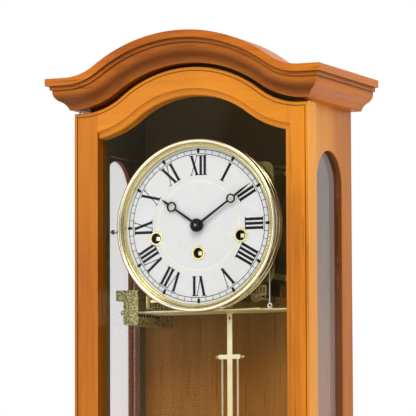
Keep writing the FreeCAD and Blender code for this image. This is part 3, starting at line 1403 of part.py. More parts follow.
def silence_lever():
    """A strip pivoted on the front plate that shows beside the bezel."""
    x, z = SILENCE_PIVOT
    half = SILENCE_WIDTH / 2
    y1 = LEVER_Y + LEVER_THICKNESS
    tip = SILENCE_TIP / 2
    end = SILENCE_GAP - INNER_HALF
    strip = panel_y([(x, z - half), (x, z + half), (end, z + tip), (end, z - tip)], LEVER_Y, y1)
    hub = rod_y(x, z, SILENCE_WIDTH, LEVER_Y, y1)
    knob = rod_y(end + SILENCE_KNOB, z, SILENCE_KNOB, LEVER_Y - SILENCE_KNOB_LEAD, y1)
    return joined([strip, hub, knob]).cut(rod_y(x, z, STUD_RADIUS + RUNNING_FIT, LEVER_Y, y1))


def lift_wire():
    """A steel wire with an eye at each end, hung from a stud on the front plate."""
    y = PLATE_Y - LIFT_WIRE_RADIUS
    top = DIAL_Z - LIFT_WIRE_TOP
    end = DIAL_Z - LIFT_WIRE_END
    wire = rod_z(LIFT_WIRE_X, y, LIFT_WIRE_RADIUS, end, top)
    pieces = [wire]
    for z in (top + LIFT_WIRE_EYE, end - LIFT_WIRE_EYE):
        pieces.append(Part.makeTorus(LIFT_WIRE_EYE, LIFT_WIRE_RADIUS, V(LIFT_WIRE_X, y, z), Y_AXIS))
    return joined(pieces)


def save(node, shape):
    """Writes one sub-part, a solid or a group of solids."""
    if isinstance(shape, list):
        shape = Part.makeCompound(shape)
    shape.exportStep(os.path.join("parts", node + ".step"))


def main():
    os.makedirs("parts", exist_ok=True)
    left_stile, right_stile, top_rail, bottom_rail = door_pieces()
    strike_gear = Gear(STRIKE_ARBOR, GREAT_TEETH, GREAT_MODULE)
    chime_gear = Gear(CHIME_ARBOR, GREAT_TEETH, GREAT_MODULE)
    nodes = {
        "left_side": side_panel(-1),
        "right_side": side_panel(1),
        "back_board": back_board(),
        "floor_board": floor_board(),
        "header_rail": header_rail(),
        "cornice_front": cornice_front(),
        "cornice_returns": [moulding_return(side, CORNICE_Z, 1) for side in (-1, 1)],
        "cornice_roof": cornice_roof(),
        "base_moulding": base_moulding(),
        "side_glasses": side_glasses(),
        "hanger_plate": hanger_plate(),
        "door_pivots": door_pivots(),
        "door_catch": door_catch(),
        "door_left_stile": left_stile,
        "door_right_stile": right_stile,
        "door_top_rail": top_rail,
        "door_bottom_rail": bottom_rail,
        "door_glass": door_glass(),
        "catch_plate": catch_plate(),
        "dial_plate": dial_plate(),
        "bezel": bezel(),
        "winding_grommets": winding_grommets(),
        "minute_hand": minute_hand(),
        "hour_hand": hour_hand(),
        "hand_nut": hand_nut(),
        "front_plate": front_plate(),
        "back_plate": back_plate(),
        "plate_pillars": plate_pillars(),
        "mounting_posts": mounting_posts(),
        "centre_wheel": centre_wheel(),
        "cannon_pinion": cannon_pinion(),
        "minute_wheel": minute_wheel(),
        "hour_wheel": hour_wheel(),
        "intermediate_wheel": intermediate_wheel(),
        "third_wheel": third_wheel(),
        "escape_wheel": escape_wheel(),
        "anchor": anchor(),
        "time_barrel": barrel(great_gear),
        "strike_barrel": barrel(strike_gear),
        "chime_barrel": barrel(chime_gear),
        "time_winding_arbor": winding_arbor(TIME_ARBOR),
        "strike_winding_arbor": winding_arbor(STRIKE_ARBOR),
        "chime_winding_arbor": winding_arbor(CHIME_ARBOR),
        "suspension_cock": suspension_cock(),
        "suspension_spring": suspension_spring(),
        "pendulum_leader": pendulum_leader(),
        "pendulum_rod": pendulum_rod(),
        "gridiron": gridiron(),
        "pendulum_bob": pendulum_bob(),
        "rating_nut": rating_nut(),
        "chime_block": chime_block(),
        "chime_rods": chime_rods(),
        "hammer_shaft": hammer_shaft(),
        "strike_hammers": strike_hammers(),
        "silence_lever": silence_lever(),
        "lift_wire": lift_wire(),
    }
    for number, y in enumerate(CHIME_ROWS[:MELODY_COUNT], start=1):
        nodes["chime_hammer_%d" % number] = hammer(y)
    for node, shape in nodes.items():
        save(node, shape)


main()
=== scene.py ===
# %% [markdown]
# A wall clock, dressed step by step. The packed model comes in first and never moves: every plate, wheel
# and length of moulding is already where it belongs. What is left is what a finisher does to a real
# clock: wood is stained and lacquered, brass is polished, glass is cleaned, and the dial is printed. The
# box of the bare model is kept now, because the finished clock may not grow past it.

# %% Load the clock
import math

import bpy
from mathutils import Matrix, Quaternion, Vector


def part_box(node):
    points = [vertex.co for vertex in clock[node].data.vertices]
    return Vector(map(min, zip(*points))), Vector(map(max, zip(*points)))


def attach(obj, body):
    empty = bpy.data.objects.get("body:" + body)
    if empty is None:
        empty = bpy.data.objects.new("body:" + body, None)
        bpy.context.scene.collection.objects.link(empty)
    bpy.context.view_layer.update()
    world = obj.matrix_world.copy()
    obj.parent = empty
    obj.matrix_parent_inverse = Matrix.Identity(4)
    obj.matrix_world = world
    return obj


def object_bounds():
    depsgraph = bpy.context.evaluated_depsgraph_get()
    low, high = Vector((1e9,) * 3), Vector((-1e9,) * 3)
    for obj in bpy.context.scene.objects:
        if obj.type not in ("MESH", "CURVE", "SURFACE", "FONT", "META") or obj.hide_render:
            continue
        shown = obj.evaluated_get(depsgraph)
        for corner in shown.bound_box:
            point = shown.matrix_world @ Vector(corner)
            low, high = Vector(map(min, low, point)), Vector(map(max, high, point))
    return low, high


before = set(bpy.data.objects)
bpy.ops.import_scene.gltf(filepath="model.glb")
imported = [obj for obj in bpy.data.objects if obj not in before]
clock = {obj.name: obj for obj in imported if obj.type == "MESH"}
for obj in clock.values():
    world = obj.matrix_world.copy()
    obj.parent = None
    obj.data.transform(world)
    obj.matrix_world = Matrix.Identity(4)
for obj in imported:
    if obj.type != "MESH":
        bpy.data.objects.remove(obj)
bare_box = [list(corner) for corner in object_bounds()]
bpy.ops.object.select_all(action="DESELECT")
MM = 0.001
print("pieces of the clock:", len(clock), "box:", bare_box)

# %% [markdown]
# The picture was taken from the right, from below the dial and from far off with a long lens, and it is a
# square cut out of a larger one. The camera could be level with a shifted lens, but here it only aims:
# one long step forward and two short ones to the right and up, all in pixels of the square. The lens
# follows from the length of that aim, and a very small roll levels the shoulders of the case.

# %% Camera
PICTURE_SIZE = 416
FORWARD_PIXELS = 3605.7
RIGHT_PIXELS = 18.0
UP_PIXELS = 331.8
ROLL_DEGREES = -0.22
SENSOR = 36.0
FARTHEST = 50.0
camera_place = Vector((1.6621, -3.8343, -0.4489))
forward = Vector((-0.41135, 0.91148, 0.0))
rightward = Vector((0.91148, 0.41135, 0.0))
upward = Vector((0.0, 0.0, 1.0))
aim = forward * FORWARD_PIXELS + rightward * RIGHT_PIXELS + upward * UP_PIXELS
roll = Quaternion(upward, math.radians(ROLL_DEGREES))

bpy.ops.object.camera_add(location=camera_place)
camera = bpy.context.object
camera.name = "long_lens"
camera.data.sensor_width = SENSOR
camera.data.lens = aim.length * SENSOR / PICTURE_SIZE
camera.data.clip_end = FARTHEST
camera.rotation_euler = (aim.to_track_quat("-Z", "Y") @ roll).to_euler()
bpy.context.scene.camera = camera
print("lens in millimetres:", round(camera.data.lens, 1))

# %% [markdown]
# Finishes are written as sums. In the shader editor each sum is a Math node that is added and wired by
# hand. Here each value that a node gives is wrapped in a small class, so that a plus or a times sign
# between two of them adds the Math node that does it, and a finish can be read like a recipe.

# %% Values that can be summed


class Value:
    """One output of a node. Sums with numbers or other values add Math nodes."""

    def __init__(self, mixture, socket):
        self.mixture = mixture
        self.socket = socket

    def sum_of(self, operation, first, second):
        return self.mixture.node("ShaderNodeMath", {"operation": operation}, {0: first, 1: second})

    def __add__(self, other):
        return self.sum_of("ADD", self, other)

    def __sub__(self, other):
        return self.sum_of("SUBTRACT", self, other)

    def __rsub__(self, other):
        return self.sum_of("SUBTRACT", other, self)

    def __mul__(self, other):
        return self.sum_of("MULTIPLY", self, other)

    def __gt__(self, other):
        return self.sum_of("GREATER_THAN", self, other)

    def __lt__(self, other):
        return self.sum_of("LESS_THAN", self, other)

    def __pow__(self, other):
        return self.sum_of("POWER", self, other)

    __radd__ = __add__
    __rmul__ = __mul__


print("a value can:", [name.strip("_") for name, part in vars(Value).items() if callable(part)])

# %% [markdown]
# One method adds every other node: it takes the node's kind, then its settings, then what goes into its
# sockets. Each node could be added and wired on lines of its own, but the room and all the finishes would
# repeat those lines many times. Colours are mixed with a Mix node and not summed, because a Math node
# would turn them grey.

# %% Mixtures of nodes
# A Mix node has sockets for numbers, vectors and colours, and these are the places of its colours
FIRST_COLOUR = 6
SECOND_COLOUR = 7
MIXED_COLOUR = 2


class Mixture:
    """The nodes of a material or of the room, added one by one."""

    def __init__(self, owner):
        owner.use_nodes = True
        self.nodes = owner.node_tree.nodes
        self.links = owner.node_tree.links

    def node(self, kind, settings, inputs, output=0):
        added = self.nodes.new(kind)
        for name, setting in settings.items():
            if name == "stops":
                self.set_stops(added.color_ramp, setting)
            else:
                setattr(added, name, setting)
        for name, value in inputs.items():
            self.feed(added.inputs[name], value)
        return Value(self, added.outputs[output])

    def set_stops(self, ramp, stops):
        while len(ramp.elements) < len(stops):
            ramp.elements.new(1.0)
        for element, (position, colour) in zip(ramp.elements, stops):
            element.position = position
            element.color = (*colour, 1.0)

    def feed(self, socket, value):
        if isinstance(value, Value):
            self.links.new(value.socket, socket)
        else:
            socket.default_value = value

    def ramp(self, value, stops):
        return self.node("ShaderNodeValToRGB", {"stops": stops}, {"Fac": value}, "Color")

    def blend(self, share, first, second, way="MIX"):
        settings = {"data_type": "RGBA", "blend_type": way}
        inputs = {"Factor": share, FIRST_COLOUR: first, SECOND_COLOUR: second}
        return self.node("ShaderNodeMix", settings, inputs, MIXED_COLOUR)


print("a mixture can:", [name for name in vars(Mixture) if not name.startswith("_")])

# %% [markdown]
# The clock hangs in a white studio. The background is burnt out to pure white in the picture, but a world
# that bright would also fill the dark inside of the case with light. A Light Path node tells the two
# apart: rays that come straight from the camera see white, and all other rays see a softer room. It is
# brightest above and behind, where the white paper is, so that a side seen at a slant mirrors it as a
# pale sheen.

# %% Studio room
WHITE = (1.0, 1.0, 1.0)
ROOM_STRENGTH = 1.0
UPWARD_LIGHT = [(0.25, (0.30, 0.27, 0.25)), (0.70, WHITE)]
BACKWARD_LIGHT = [(0.35, (0.42, 0.42, 0.42)), (0.85, (1.0, 0.99, 0.98))]
HALF = 0.5

studio = bpy.data.worlds.new("studio")
bpy.context.scene.world = studio
room = Mixture(studio)
direction = room.node("ShaderNodeTexCoord", {}, {}, "Generated")


def light_along(axis, stops):
    """A ramp from one end of an axis of the room to the other."""
    reach = room.node("ShaderNodeSeparateXYZ", {}, {"Vector": direction}, axis)
    return room.ramp(reach * HALF + HALF, stops)


room_light = room.blend(
    1.0, light_along("Z", UPWARD_LIGHT), light_along("Y", BACKWARD_LIGHT), "MULTIPLY")
soft_room = room.node("ShaderNodeBackground", {}, {"Color": room_light, "Strength": ROOM_STRENGTH})
white_room = room.nodes["Background"]
room.feed(white_room.inputs["Color"], (*WHITE, 1.0))
by_camera = room.node("ShaderNodeLightPath", {}, {}, "Is Camera Ray")
choice = {"Fac": by_camera, 1: soft_room, 2: Value(room, white_room.outputs[0])}
room.feed(room.nodes["World Output"].inputs["Surface"], room.node("ShaderNodeMixShader", {}, choice))
bpy.context.scene.view_settings.view_transform = "Standard"
print("studio nodes:", len(room.nodes))

# %% [markdown]
# Three large soft boxes do the modelling, each a square Area light that looks at the dial. Small lamps
# would give the hands hard shadows, which the picture doesn't have. The key hangs high in front, so that
# the hollows of the mouldings that look down stay dark. The floor is a plane at the height of the clock's
# foot.

# %% Soft boxes and floor
DIAL_HEIGHT = -95.0
FLOOR_SIZE = 40.0
# Place and width in metres, power in watts
SOFT_BOXES = {
    "key_light": ((0.9, -2.3, 2.1), 2.2, 80.0),
    "fill_light": ((-1.7, -2.2, 0.5), 1.6, 11.0),
    "side_light": ((2.6, -0.4, 0.8), 1.6, 15.0),
}
dial_centre = Vector((0.0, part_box("dial_plate")[0][1], DIAL_HEIGHT * MM))

for name, (place, width, power) in SOFT_BOXES.items():
    bpy.ops.object.light_add(type="AREA", location=place)
    lamp = bpy.context.object
    lamp.name = name
    lamp.data.size = width
    lamp.data.energy = power
    lamp.rotation_euler = (dial_centre - Vector(place)).to_track_quat("-Z", "Y").to_euler()
bpy.ops.mesh.primitive_plane_add(size=FLOOR_SIZE, location=(0.0, 0.0, bare_box[0][2]))
floor = bpy.context.object
floor.name = "studio_floor"

# %% [markdown]
# A finish is a Principled surface and the nodes that feed it. Patterns could follow a UV map, but turned
# and sawn pieces have no natural one, so they read Object coordinates: the wood grain then runs through a
# piece as through a solid board. The methods below are a finisher's words for what this clock needs.

# %% Paint kit
SOCKETS = {
    "base_color": "Base Color",
    "metallic": "Metallic",
    "roughness": "Roughness",
    "specular": "Specular IOR Level",
    "coat_weight": "Coat Weight",
    "coat_roughness": "Coat Roughness",
    "alpha": "Alpha",
    "normal": "Normal",
}
SHELTER_RAYS = 8


class Paint(Mixture):
    """A material under way."""

    def __init__(self, name):
        self.material = bpy.data.materials.new(name)
        super().__init__(self.material)
        self.surface = self.nodes["Principled BSDF"]
        self.place = self.node("ShaderNodeTexCoord", {}, {}, "Object")

    def along(self, axis):
        """How far a spot lies along an axis, in metres."""
        return self.node("ShaderNodeSeparateXYZ", {}, {"Vector": self.place}, axis)

    def facing(self, axis):
        """How far a face is turned towards an axis: 1 when it looks along it, -1 when it looks back."""
        normal = self.node("ShaderNodeTexCoord", {}, {}, "Normal")
        return self.node("ShaderNodeSeparateXYZ", {}, {"Vector": normal}, axis)

    def distance_from(self, point, axes):
        """How far a spot is from a point, in metres, measured along the axes that are 1."""
        inputs = {0: self.place, 1: tuple(point)}
        apart = self.node("ShaderNodeVectorMath", {"operation": "SUBTRACT"}, inputs)
        flat = self.node("ShaderNodeVectorMath", {"operation": "MULTIPLY"}, {0: apart, 1: axes})
        return self.node("ShaderNodeVectorMath", {"operation": "LENGTH"}, {0: flat}, "Value")

    def noise(self, scale, detail):
        """Noise whose grains can be stretched: scale is how many there are to a metre on each axis."""
        spot = self.node("ShaderNodeMapping", {}, {"Vector": self.place, "Scale": scale})
        return self.node("ShaderNodeTexNoise", {}, {"Vector": spot, "Scale": 1.0, "Detail": detail}, "Fac")

    def spread(self, value, start, full, most, way="LINEAR"):
        """Nothing where a value is at start, most where it is at full, and a slope between."""
        inputs = {"Value": value, "From Min": start, "From Max": full, "To Max": most}
        return self.node("ShaderNodeMapRange", {"interpolation_type": way}, inputs, "Result")

    def shelter(self, reach, own_piece_only=True):
        """Grows to 1 in corners, where other faces stand nearer than reach, in metres."""
        settings = {"samples": SHELTER_RAYS, "only_local": own_piece_only}
        return 1.0 - self.node("ShaderNodeAmbientOcclusion", settings, {"Distance": reach}, "AO")

    def lay_painted_light(self, colour, painted_light_and_shade):
        """Lays painted light and shade over a colour. Each is a function that gives its share, and its own
        colour.
        """
        for share_of, tone in painted_light_and_shade:
            colour = self.blend(share_of(self), colour, (*tone, 1.0))
        return colour

    def bump(self, height, depth):
        inputs = {"Height": height, "Strength": 1.0, "Distance": depth}
        return self.node("ShaderNodeBump", {}, inputs, "Normal")

    def finish(self, **sockets):
        for name, value in sockets.items():
            self.feed(self.surface.inputs[SOCKETS[name]], value)
        return self.material


print("a paint can also:", [name for name in vars(Paint) if not name.startswith("_")])

# %% [markdown]
# The floor is a wide sheet of matt paper. Near the clock it catches the soft shadow, and further out the
# camera sees it melt into the white of the room. A photographer bends the paper up behind the clock for
# that. Here only what the camera sees melts, so that the paper still sends its light up to the clock from
# all over.

# %% Studio paper
PAPER_STAYS = 0.35
PAPER_ENDS = 1.5
PAPER_WHITE = (0.8, 0.8, 0.8)
PAPER_MIDDLE = (0.0, 0.0, 0.0)
ACROSS_THE_FLOOR = (1.0, 1.0, 0.0)


def studio_paper():
    """Matt white paper that is there for all light, and fades out with distance for the camera."""
    paint = Paint("studio_paper")
    from_clock = paint.distance_from(PAPER_MIDDLE, ACROSS_THE_FLOOR)
    melted = paint.spread(from_clock, PAPER_STAYS, PAPER_ENDS, 1.0, "SMOOTHSTEP")
    seen = paint.node("ShaderNodeLightPath", {}, {}, "Is Camera Ray")
    return paint.finish(
        base_color=(*PAPER_WHITE, 1.0), roughness=1.0, specular=0.0, alpha=1.0 - melted * seen)


floor.data.materials.append(studio_paper())
print("paper melts from", PAPER_STAYS, "to", PAPER_ENDS)

# %% [markdown]
# The case is cherry under lacquer. Its figure has several sizes: slow clouds of colour, broad bands where
# boards were glued side by side, fine streaks and pores along the grain, and short dark flecks. All but
# the clouds are noise that is pulled long in the direction of the grain. A picture of wood would show a
# seam and repeat, and noise never does. The corners of the mouldings get a painted shade: the Ambient
# Occlusion node finds those corners, and the colour is darkened there.

# %% Wood
ALONG_X = (0.03, 1.0, 1.0)
ALONG_Y = (1.0, 0.03, 1.0)
ALONG_Z = (1.0, 1.0, 0.03)
# Grains to a metre, for clouds on each axis and for the rest across the grain, and the detail in each
CLOUDS = ((9.0, 9.0, 5.0), 2.0)
BANDS = (26.0, 2.0)
STREAKS = (240.0, 4.0)
FLECKS = (430.0, 1.0)
PORES = (1500.0, 1.0)
# What each adds to the figure, and what is taken off to centre it
CLOUD_SHARE = 0.56
BAND_SHARE = 0.36
STREAK_SHARE = 0.38
PORE_SHARE = 0.12
FIGURE_SHIFT = 0.21
FLECK_EDGE = 0.68
FLECK_SHARE = 0.5
DARK_SHARE = 0.40
CORNER_SHADE_REACH = 7.0
CORNER_SHADE_SHARE = 1.3
STREAK_ROUGHNESS = 0.16
COAT_SHARE = 0.3
COAT_ROUGHNESS = 0.16
STREAK_HEIGHT = 0.6
PORE_HEIGHT = 0.4
GRAIN_DEPTH = 0.06


def stained_wood(name, grain, stops, gloss, shine, painted_light_and_shade=()):
    """Wood with its figure along the grain, flecks and painted shade in its corners, under lacquer."""
    paint = Paint(name)

    def grains(count, detail):
        return paint.noise(tuple(count * share for share in grain), detail)

    bands = grains(*BANDS)
    streaks = grains(*STREAKS)
    pores = grains(*PORES)
    clouds = paint.noise(*CLOUDS)
    figure = bands * BAND_SHARE + streaks * STREAK_SHARE + pores * PORE_SHARE + clouds * CLOUD_SHARE
    colour = paint.ramp(figure - FIGURE_SHIFT, stops)
    dark = tuple(part * DARK_SHARE for part in stops[0][1])
    flecks = grains(*FLECKS) > FLECK_EDGE
    colour = paint.blend(flecks * FLECK_SHARE, colour, (*dark, 1.0))
    # Painted shade: the colour is darkened in the corners that the Ambient Occlusion node finds.
    colour = paint.blend(paint.shelter(CORNER_SHADE_REACH * MM) * CORNER_SHADE_SHARE, colour, (*dark, 1.0))
    return paint.finish(
        base_color=paint.lay_painted_light(colour, painted_light_and_shade),
        roughness=gloss + streaks * STREAK_ROUGHNESS,
        specular=shine,
        coat_weight=shine * COAT_SHARE,
        coat_roughness=COAT_ROUGHNESS,
        normal=paint.bump(streaks * STREAK_HEIGHT + pores * PORE_HEIGHT, GRAIN_DEPTH * MM),
    )


print("sizes of figure:", [size[0] for size in (CLOUDS, BANDS, STREAKS, FLECKS, PORES)])

# %% [markdown]
# A case is never one even colour in the light: it is darker in reveals and hollows and on faces turned from
# the lamps, and paler on edges that catch the light. This is painted into the colour as painted shade and
# painted highlight. Such shades could be painted on a UV map by hand. It is easier to say where they
# gather: a rule is a function that takes a paint and gives the share of a painted shade or highlight at
# every spot. Two rules below are written out, and the others are made to measure by a function, so that
# one form serves several of them.

# %% Where painted shade and light gather
FACE_SKIN = 1.0
REVEAL_SHARE = 0.9
DOWNWARD = -0.75
HOLLOW_SHARE = 0.8
TURNED = 0.6
inner_half, case_half = (corner[0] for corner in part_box("right_side"))
board_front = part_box("back_board")[0][1]


def climbing(axis, start, full, most):
    """A painted shade or light that climbs along an axis from nothing at start to its most at full, in
    metres.
    """
    return lambda paint: paint.spread(paint.along(axis), start, full, most)


def nearer_than(half):
    """A painted shade on what lies nearer to the middle of the clock than half its width, in metres."""

    def share(paint):
        outward = paint.node("ShaderNodeMath", {"operation": "ABSOLUTE"}, {0: paint.along("X")})
        return (outward < half) * REVEAL_SHARE

    return share


def turned_right(half, most):
    """A painted shade or highlight on faces that look to the right, in the left half of the clock (-1) or
    the right (1).
    """
    return lambda paint: (paint.facing("X") > TURNED) * (paint.along("X") * half > 0.0) * most


def looking_down(paint):
    """A painted shade that grows where a moulding turns its face to the ground."""
    return paint.spread(paint.facing("Z"), 0.0, DOWNWARD, HOLLOW_SHARE)


def high_in_the_case(paint):
    """The painted shade behind the dial: only on faces in front of the board's middle, and only high up."""
    dusk = climbing("Z", start=-0.26, full=-0.10, most=0.85)
    return dusk(paint) * (paint.along("Y") < board_front / 2)


print("half width inside and outside:", inner_half, case_half)

# %% [markdown]
# Upright pieces have upright grain, rails and mouldings run across, and the returns at the sides run back
# to the wall, so the recipe is mixed once for each direction and colour. A painted shade or highlight is a
# rule and a colour. Each wood could be written out by itself, but one list shows how they differ. The
# boards at the back and on top are only oiled, so they are duller than the lacquered front.

# %% Mix the woods
CHERRY = [(0.32, (0.36, 0.095, 0.002)), (0.5, (0.55, 0.166, 0.005)), (0.66, (0.68, 0.232, 0.010))]
BROWN_CHERRY = [(0.34, (0.32, 0.076, 0.003)), (0.5, (0.48, 0.125, 0.006)), (0.68, (0.62, 0.180, 0.010))]
BOARD = [(0.34, (0.25, 0.098, 0.014)), (0.5, (0.33, 0.132, 0.019)), (0.68, (0.41, 0.170, 0.026))]
# The pale colour is laid as painted highlight and sheen, and the olive as painted shade inside the case.
HIGHLIGHT_PALE = (0.86, 0.38, 0.055)
SHADE_OLIVE = (0.086, 0.080, 0.027)
# Roughness and strength of the gloss
LACQUER = (0.26, 0.22)
MOULDING_LACQUER = (0.28, 0.17)
RETURN_LACQUER = (0.28, 0.22)
OIL = (0.55, 0.12)
LEFT = -1.0
RIGHT = 1.0

# All of these are painted light and shade: a painted highlight that climbs up the door, painted shade on
# its left and inside its left stile, a painted highlight on edges that look right, a painted sheen on the
# front of the sides, and painted shade towards the wall, in the side windows, inside the case, under the
# mouldings and high behind the dial.
painted_arch_highlight = (climbing("Z", start=-0.14, full=0.03, most=0.45), (0.80, 0.275, 0.012))
left_shade = (climbing("X", start=0.0, full=-0.12, most=0.40), (0.40, 0.100, 0.001))
lip_shade = (turned_right(LEFT, most=0.75), (0.10, 0.022, 0.001))
painted_edge_highlight = (turned_right(RIGHT, most=0.5), HIGHLIGHT_PALE)
painted_front_sheen = (climbing("Y", start=-0.04, full=-0.115, most=0.60), HIGHLIGHT_PALE)
wall_shade = (climbing("Y", start=-0.075, full=0.0, most=0.5), (0.30, 0.070, 0.005))
reveal_shade = (nearer_than(case_half - FACE_SKIN * MM), (0.13, 0.034, 0.003))
painted_inner_shade = (nearer_than(inner_half + FACE_SKIN * MM), SHADE_OLIVE)
painted_shade_below = (looking_down, (0.12, 0.028, 0.001))
painted_shade_high = (high_in_the_case, SHADE_OLIVE)

# Grain, colours, roughness and strength of the gloss, and painted light and shade where there are any
WOODS = {
    "cherry_upright": (ALONG_Z, CHERRY, *LACQUER, [painted_arch_highlight, left_shade, lip_shade, painted_edge_highlight]),
    "cherry_sides": (ALONG_Z, CHERRY, *LACQUER, [painted_front_sheen, wall_shade, reveal_shade, painted_inner_shade]),
    "cherry_across": (ALONG_X, CHERRY, *LACQUER, [painted_arch_highlight]),
    "cherry_cornice": (ALONG_X, BROWN_CHERRY, *MOULDING_LACQUER, [painted_shade_below]),
    "cherry_back_to_wall": (ALONG_Y, BROWN_CHERRY, *RETURN_LACQUER),
    "stained_board": (ALONG_Z, BOARD, *OIL, [painted_shade_high]),
    "stained_rail": (ALONG_X, BOARD, *OIL, [painted_shade_high]),
    "stained_roof": (ALONG_X, BOARD, *OIL),
}
woods = {name: stained_wood(name, *recipe) for name, recipe in WOODS.items()}
print("woods:", list(woods))

# %% [markdown]
# Metals get their colour from the Base Color socket with Metallic at one, and their age from slow noise
# in colour and roughness. A picture of brass could give both, but it would carry the reflections of
# another room. The chime block is cast iron under a gold hammered enamel. Its dimples come from a Voronoi
# pattern, which is made of round cells as the enamel is, and their bottoms get a painted shade.

# %% Metal
TARNISH = ((38.0, 38.0, 38.0), 3.0)
TARNISH_LOW = 0.3
TARNISH_HIGH = 0.65
SCRATCH_DETAIL = 2.0
SCRATCH_ROUGHNESS = 0.14
SCRATCH_HEIGHT = 0.3
SCRATCH_DEPTH = 0.008
DENTS = 680.0
PIT_SHADE_SHARE = 0.36
PIT_SHADE_STOPS = [(0.32, (0.0, 0.0, 0.0)), (0.52, WHITE)]


def metal(name, pale, tarnished, gloss, brushing, dents=0.0, grit=1.0, painted_light_and_shade=()):
    """Metal with a slow tarnish and fine brushing, or with dents of the depth that is given, in mm, and
    painted shade in their bottoms.
    """
    paint = Paint(name)
    scratches = paint.noise(brushing, SCRATCH_DETAIL)
    colour = paint.ramp(paint.noise(*TARNISH), [(TARNISH_LOW, tarnished), (TARNISH_HIGH, pale)])
    height = scratches * SCRATCH_HEIGHT
    if dents:
        inputs = {"Vector": paint.place, "Scale": DENTS}
        height = paint.node("ShaderNodeTexVoronoi", {"feature": "SMOOTH_F1"}, inputs, "Distance")
        # Painted shade: the bottoms of the dents are darkened.
        pit_shade = tuple(part * PIT_SHADE_SHARE for part in tarnished)
        colour = paint.blend(paint.ramp(height, PIT_SHADE_STOPS), colour, (*pit_shade, 1.0))
    return paint.finish(
        base_color=paint.lay_painted_light(colour, painted_light_and_shade),
        metallic=1.0,
        roughness=gloss + scratches * (SCRATCH_ROUGHNESS * grit),
        normal=paint.bump(height, (dents or SCRATCH_DEPTH * grit) * MM),
    )


print("dents to a metre:", DENTS)

# %% [markdown]
# The bezel is spun from brass sheet and polished to a pale cream gold. Its hollow gets a painted dark
# reflection of deeper gold, its stepped side a painted shade of deeper gold, and its grooves a painted
# brown shade. The hollow is found by its distance from the dial's centre and the side by its depth, so
# nothing has to be painted by hand.

# %% Painted shade on the bezel
BEZEL_RIM = 4.6
BEZEL_HOLLOW = 2.4
BEZEL_SIDE = 3.0
BEZEL_STEP = 1.0
HOLLOW_SHADE_GOLD = (0.40, 0.31, 0.09)
HOLLOW_SHADE_SHARE = 0.58
SIDE_SHADE_GOLD = (0.66, 0.56, 0.22)
SIDE_SHADE_SHARE = 0.8
GROOVE_SHADE_BROWN = (0.10, 0.07, 0.015)
GROOVE_REACH = 3.0
GROOVE_SHARE = 1.1
IN_THE_DIAL = (1.0, 0.0, 1.0)
bezel_low, bezel_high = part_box("bezel")
hollow_outer = bezel_high[0] - BEZEL_RIM * MM
hollow_inner = hollow_outer - BEZEL_HOLLOW * MM
side_starts = bezel_low[1] + BEZEL_SIDE * MM
side_full = side_starts + BEZEL_STEP * MM


def between_circles(inner, outer, most):
    """A share between two circles round the dial's centre, with their radii in metres."""

    def share(paint):
        from_centre = paint.distance_from(dial_centre, IN_THE_DIAL)
        return (from_centre > inner) * (from_centre < outer) * most

    return share


def in_grooves(paint):
    """Painted shade that grows in the narrow steps of a turned ring."""
    return paint.shelter(GROOVE_REACH * MM) * GROOVE_SHARE


# Painted reflection and shade on the bezel: deeper gold in its hollow and on its stepped side, brown in its
# grooves.
bezel_painted_shade = [
    (between_circles(hollow_inner, hollow_outer, HOLLOW_SHADE_SHARE), HOLLOW_SHADE_GOLD),
    (climbing("Y", side_starts, side_full, SIDE_SHADE_SHARE), SIDE_SHADE_GOLD),
    (in_grooves, GROOVE_SHADE_BROWN),
]
print("hollow of the bezel from", round(hollow_inner, 4), "to", round(hollow_outer, 4))

# %% [markdown]
# Brass is not one metal in this clock: the bezel is polished, the pendulum is satin and brushed along its
# length, the movement's plates are dull, the wheels are bright and warm, and the winding squares catch
# the light. Each could have a recipe of its own, but they differ in little more than colour, roughness
# and brushing, so they stand in one list.

# %% Mix the metals
FINE = (700.0, 700.0, 700.0)
BRUSHED_UP = (1400.0, 1400.0, 60.0)
DENT_DEPTH = 0.8
NO_DENTS = 0.0
BEZEL_GRIT = 0.08
# Colour polished and tarnished, roughness, brushing, and dents, grit and painted shade where they differ
METALS = {
    "bezel_brass": (
        (0.97, 0.92, 0.69), (0.95, 0.89, 0.64), 0.17, FINE, NO_DENTS, BEZEL_GRIT, bezel_painted_shade),
    "grommet_brass": ((0.94, 0.87, 0.48), (0.88, 0.79, 0.40), 0.20, FINE),
    "arbor_brass": ((0.96, 0.91, 0.70), (0.88, 0.81, 0.56), 0.16, FINE),
    "rod_brass": ((0.92, 0.92, 0.52), (0.84, 0.82, 0.42), 0.34, FINE),
    "satin_brass": ((0.94, 0.86, 0.56), (0.86, 0.74, 0.42), 0.24, BRUSHED_UP),
    "comb_brass": ((0.48, 0.41, 0.18), (0.38, 0.32, 0.13), 0.28, FINE),
    "plate_brass": ((0.28, 0.23, 0.10), (0.20, 0.16, 0.06), 0.34, BRUSHED_UP),
    "wheel_brass": ((0.86, 0.70, 0.34), (0.78, 0.60, 0.26), 0.22, FINE),
    "gold_enamel": ((0.98, 0.93, 0.46), (0.86, 0.80, 0.34), 0.30, FINE, DENT_DEPTH),
    "bright_steel": ((0.93, 0.92, 0.89), (0.82, 0.81, 0.78), 0.24, FINE),
    "grey_steel": ((0.46, 0.46, 0.47), (0.34, 0.34, 0.36), 0.30, FINE),
}
metals = {name: metal(name, *recipe) for name, recipe in METALS.items()}
print("metals:", list(metals))

# %% [markdown]
# Glass in a clock door is only seen by what it mirrors. Real glass would need many bounces of light to
# show the dial behind it, so this one is a mirror that is almost wholly see-through. The share that is
# mirrored is small when the pane is seen square on and climbs steeply at a grazing angle, as on the panes
# at the sides. A Fresnel node would take the far face of the pane for water seen from below, so Layer
# Weight's Facing is used.

# %% Glass
GRAZING_POWER = 5.0
SMEARS = ((14.0, 14.0, 6.0), 2.0)
GLASS_ROUGHNESS = 0.02
SMEAR_ROUGHNESS = 0.03


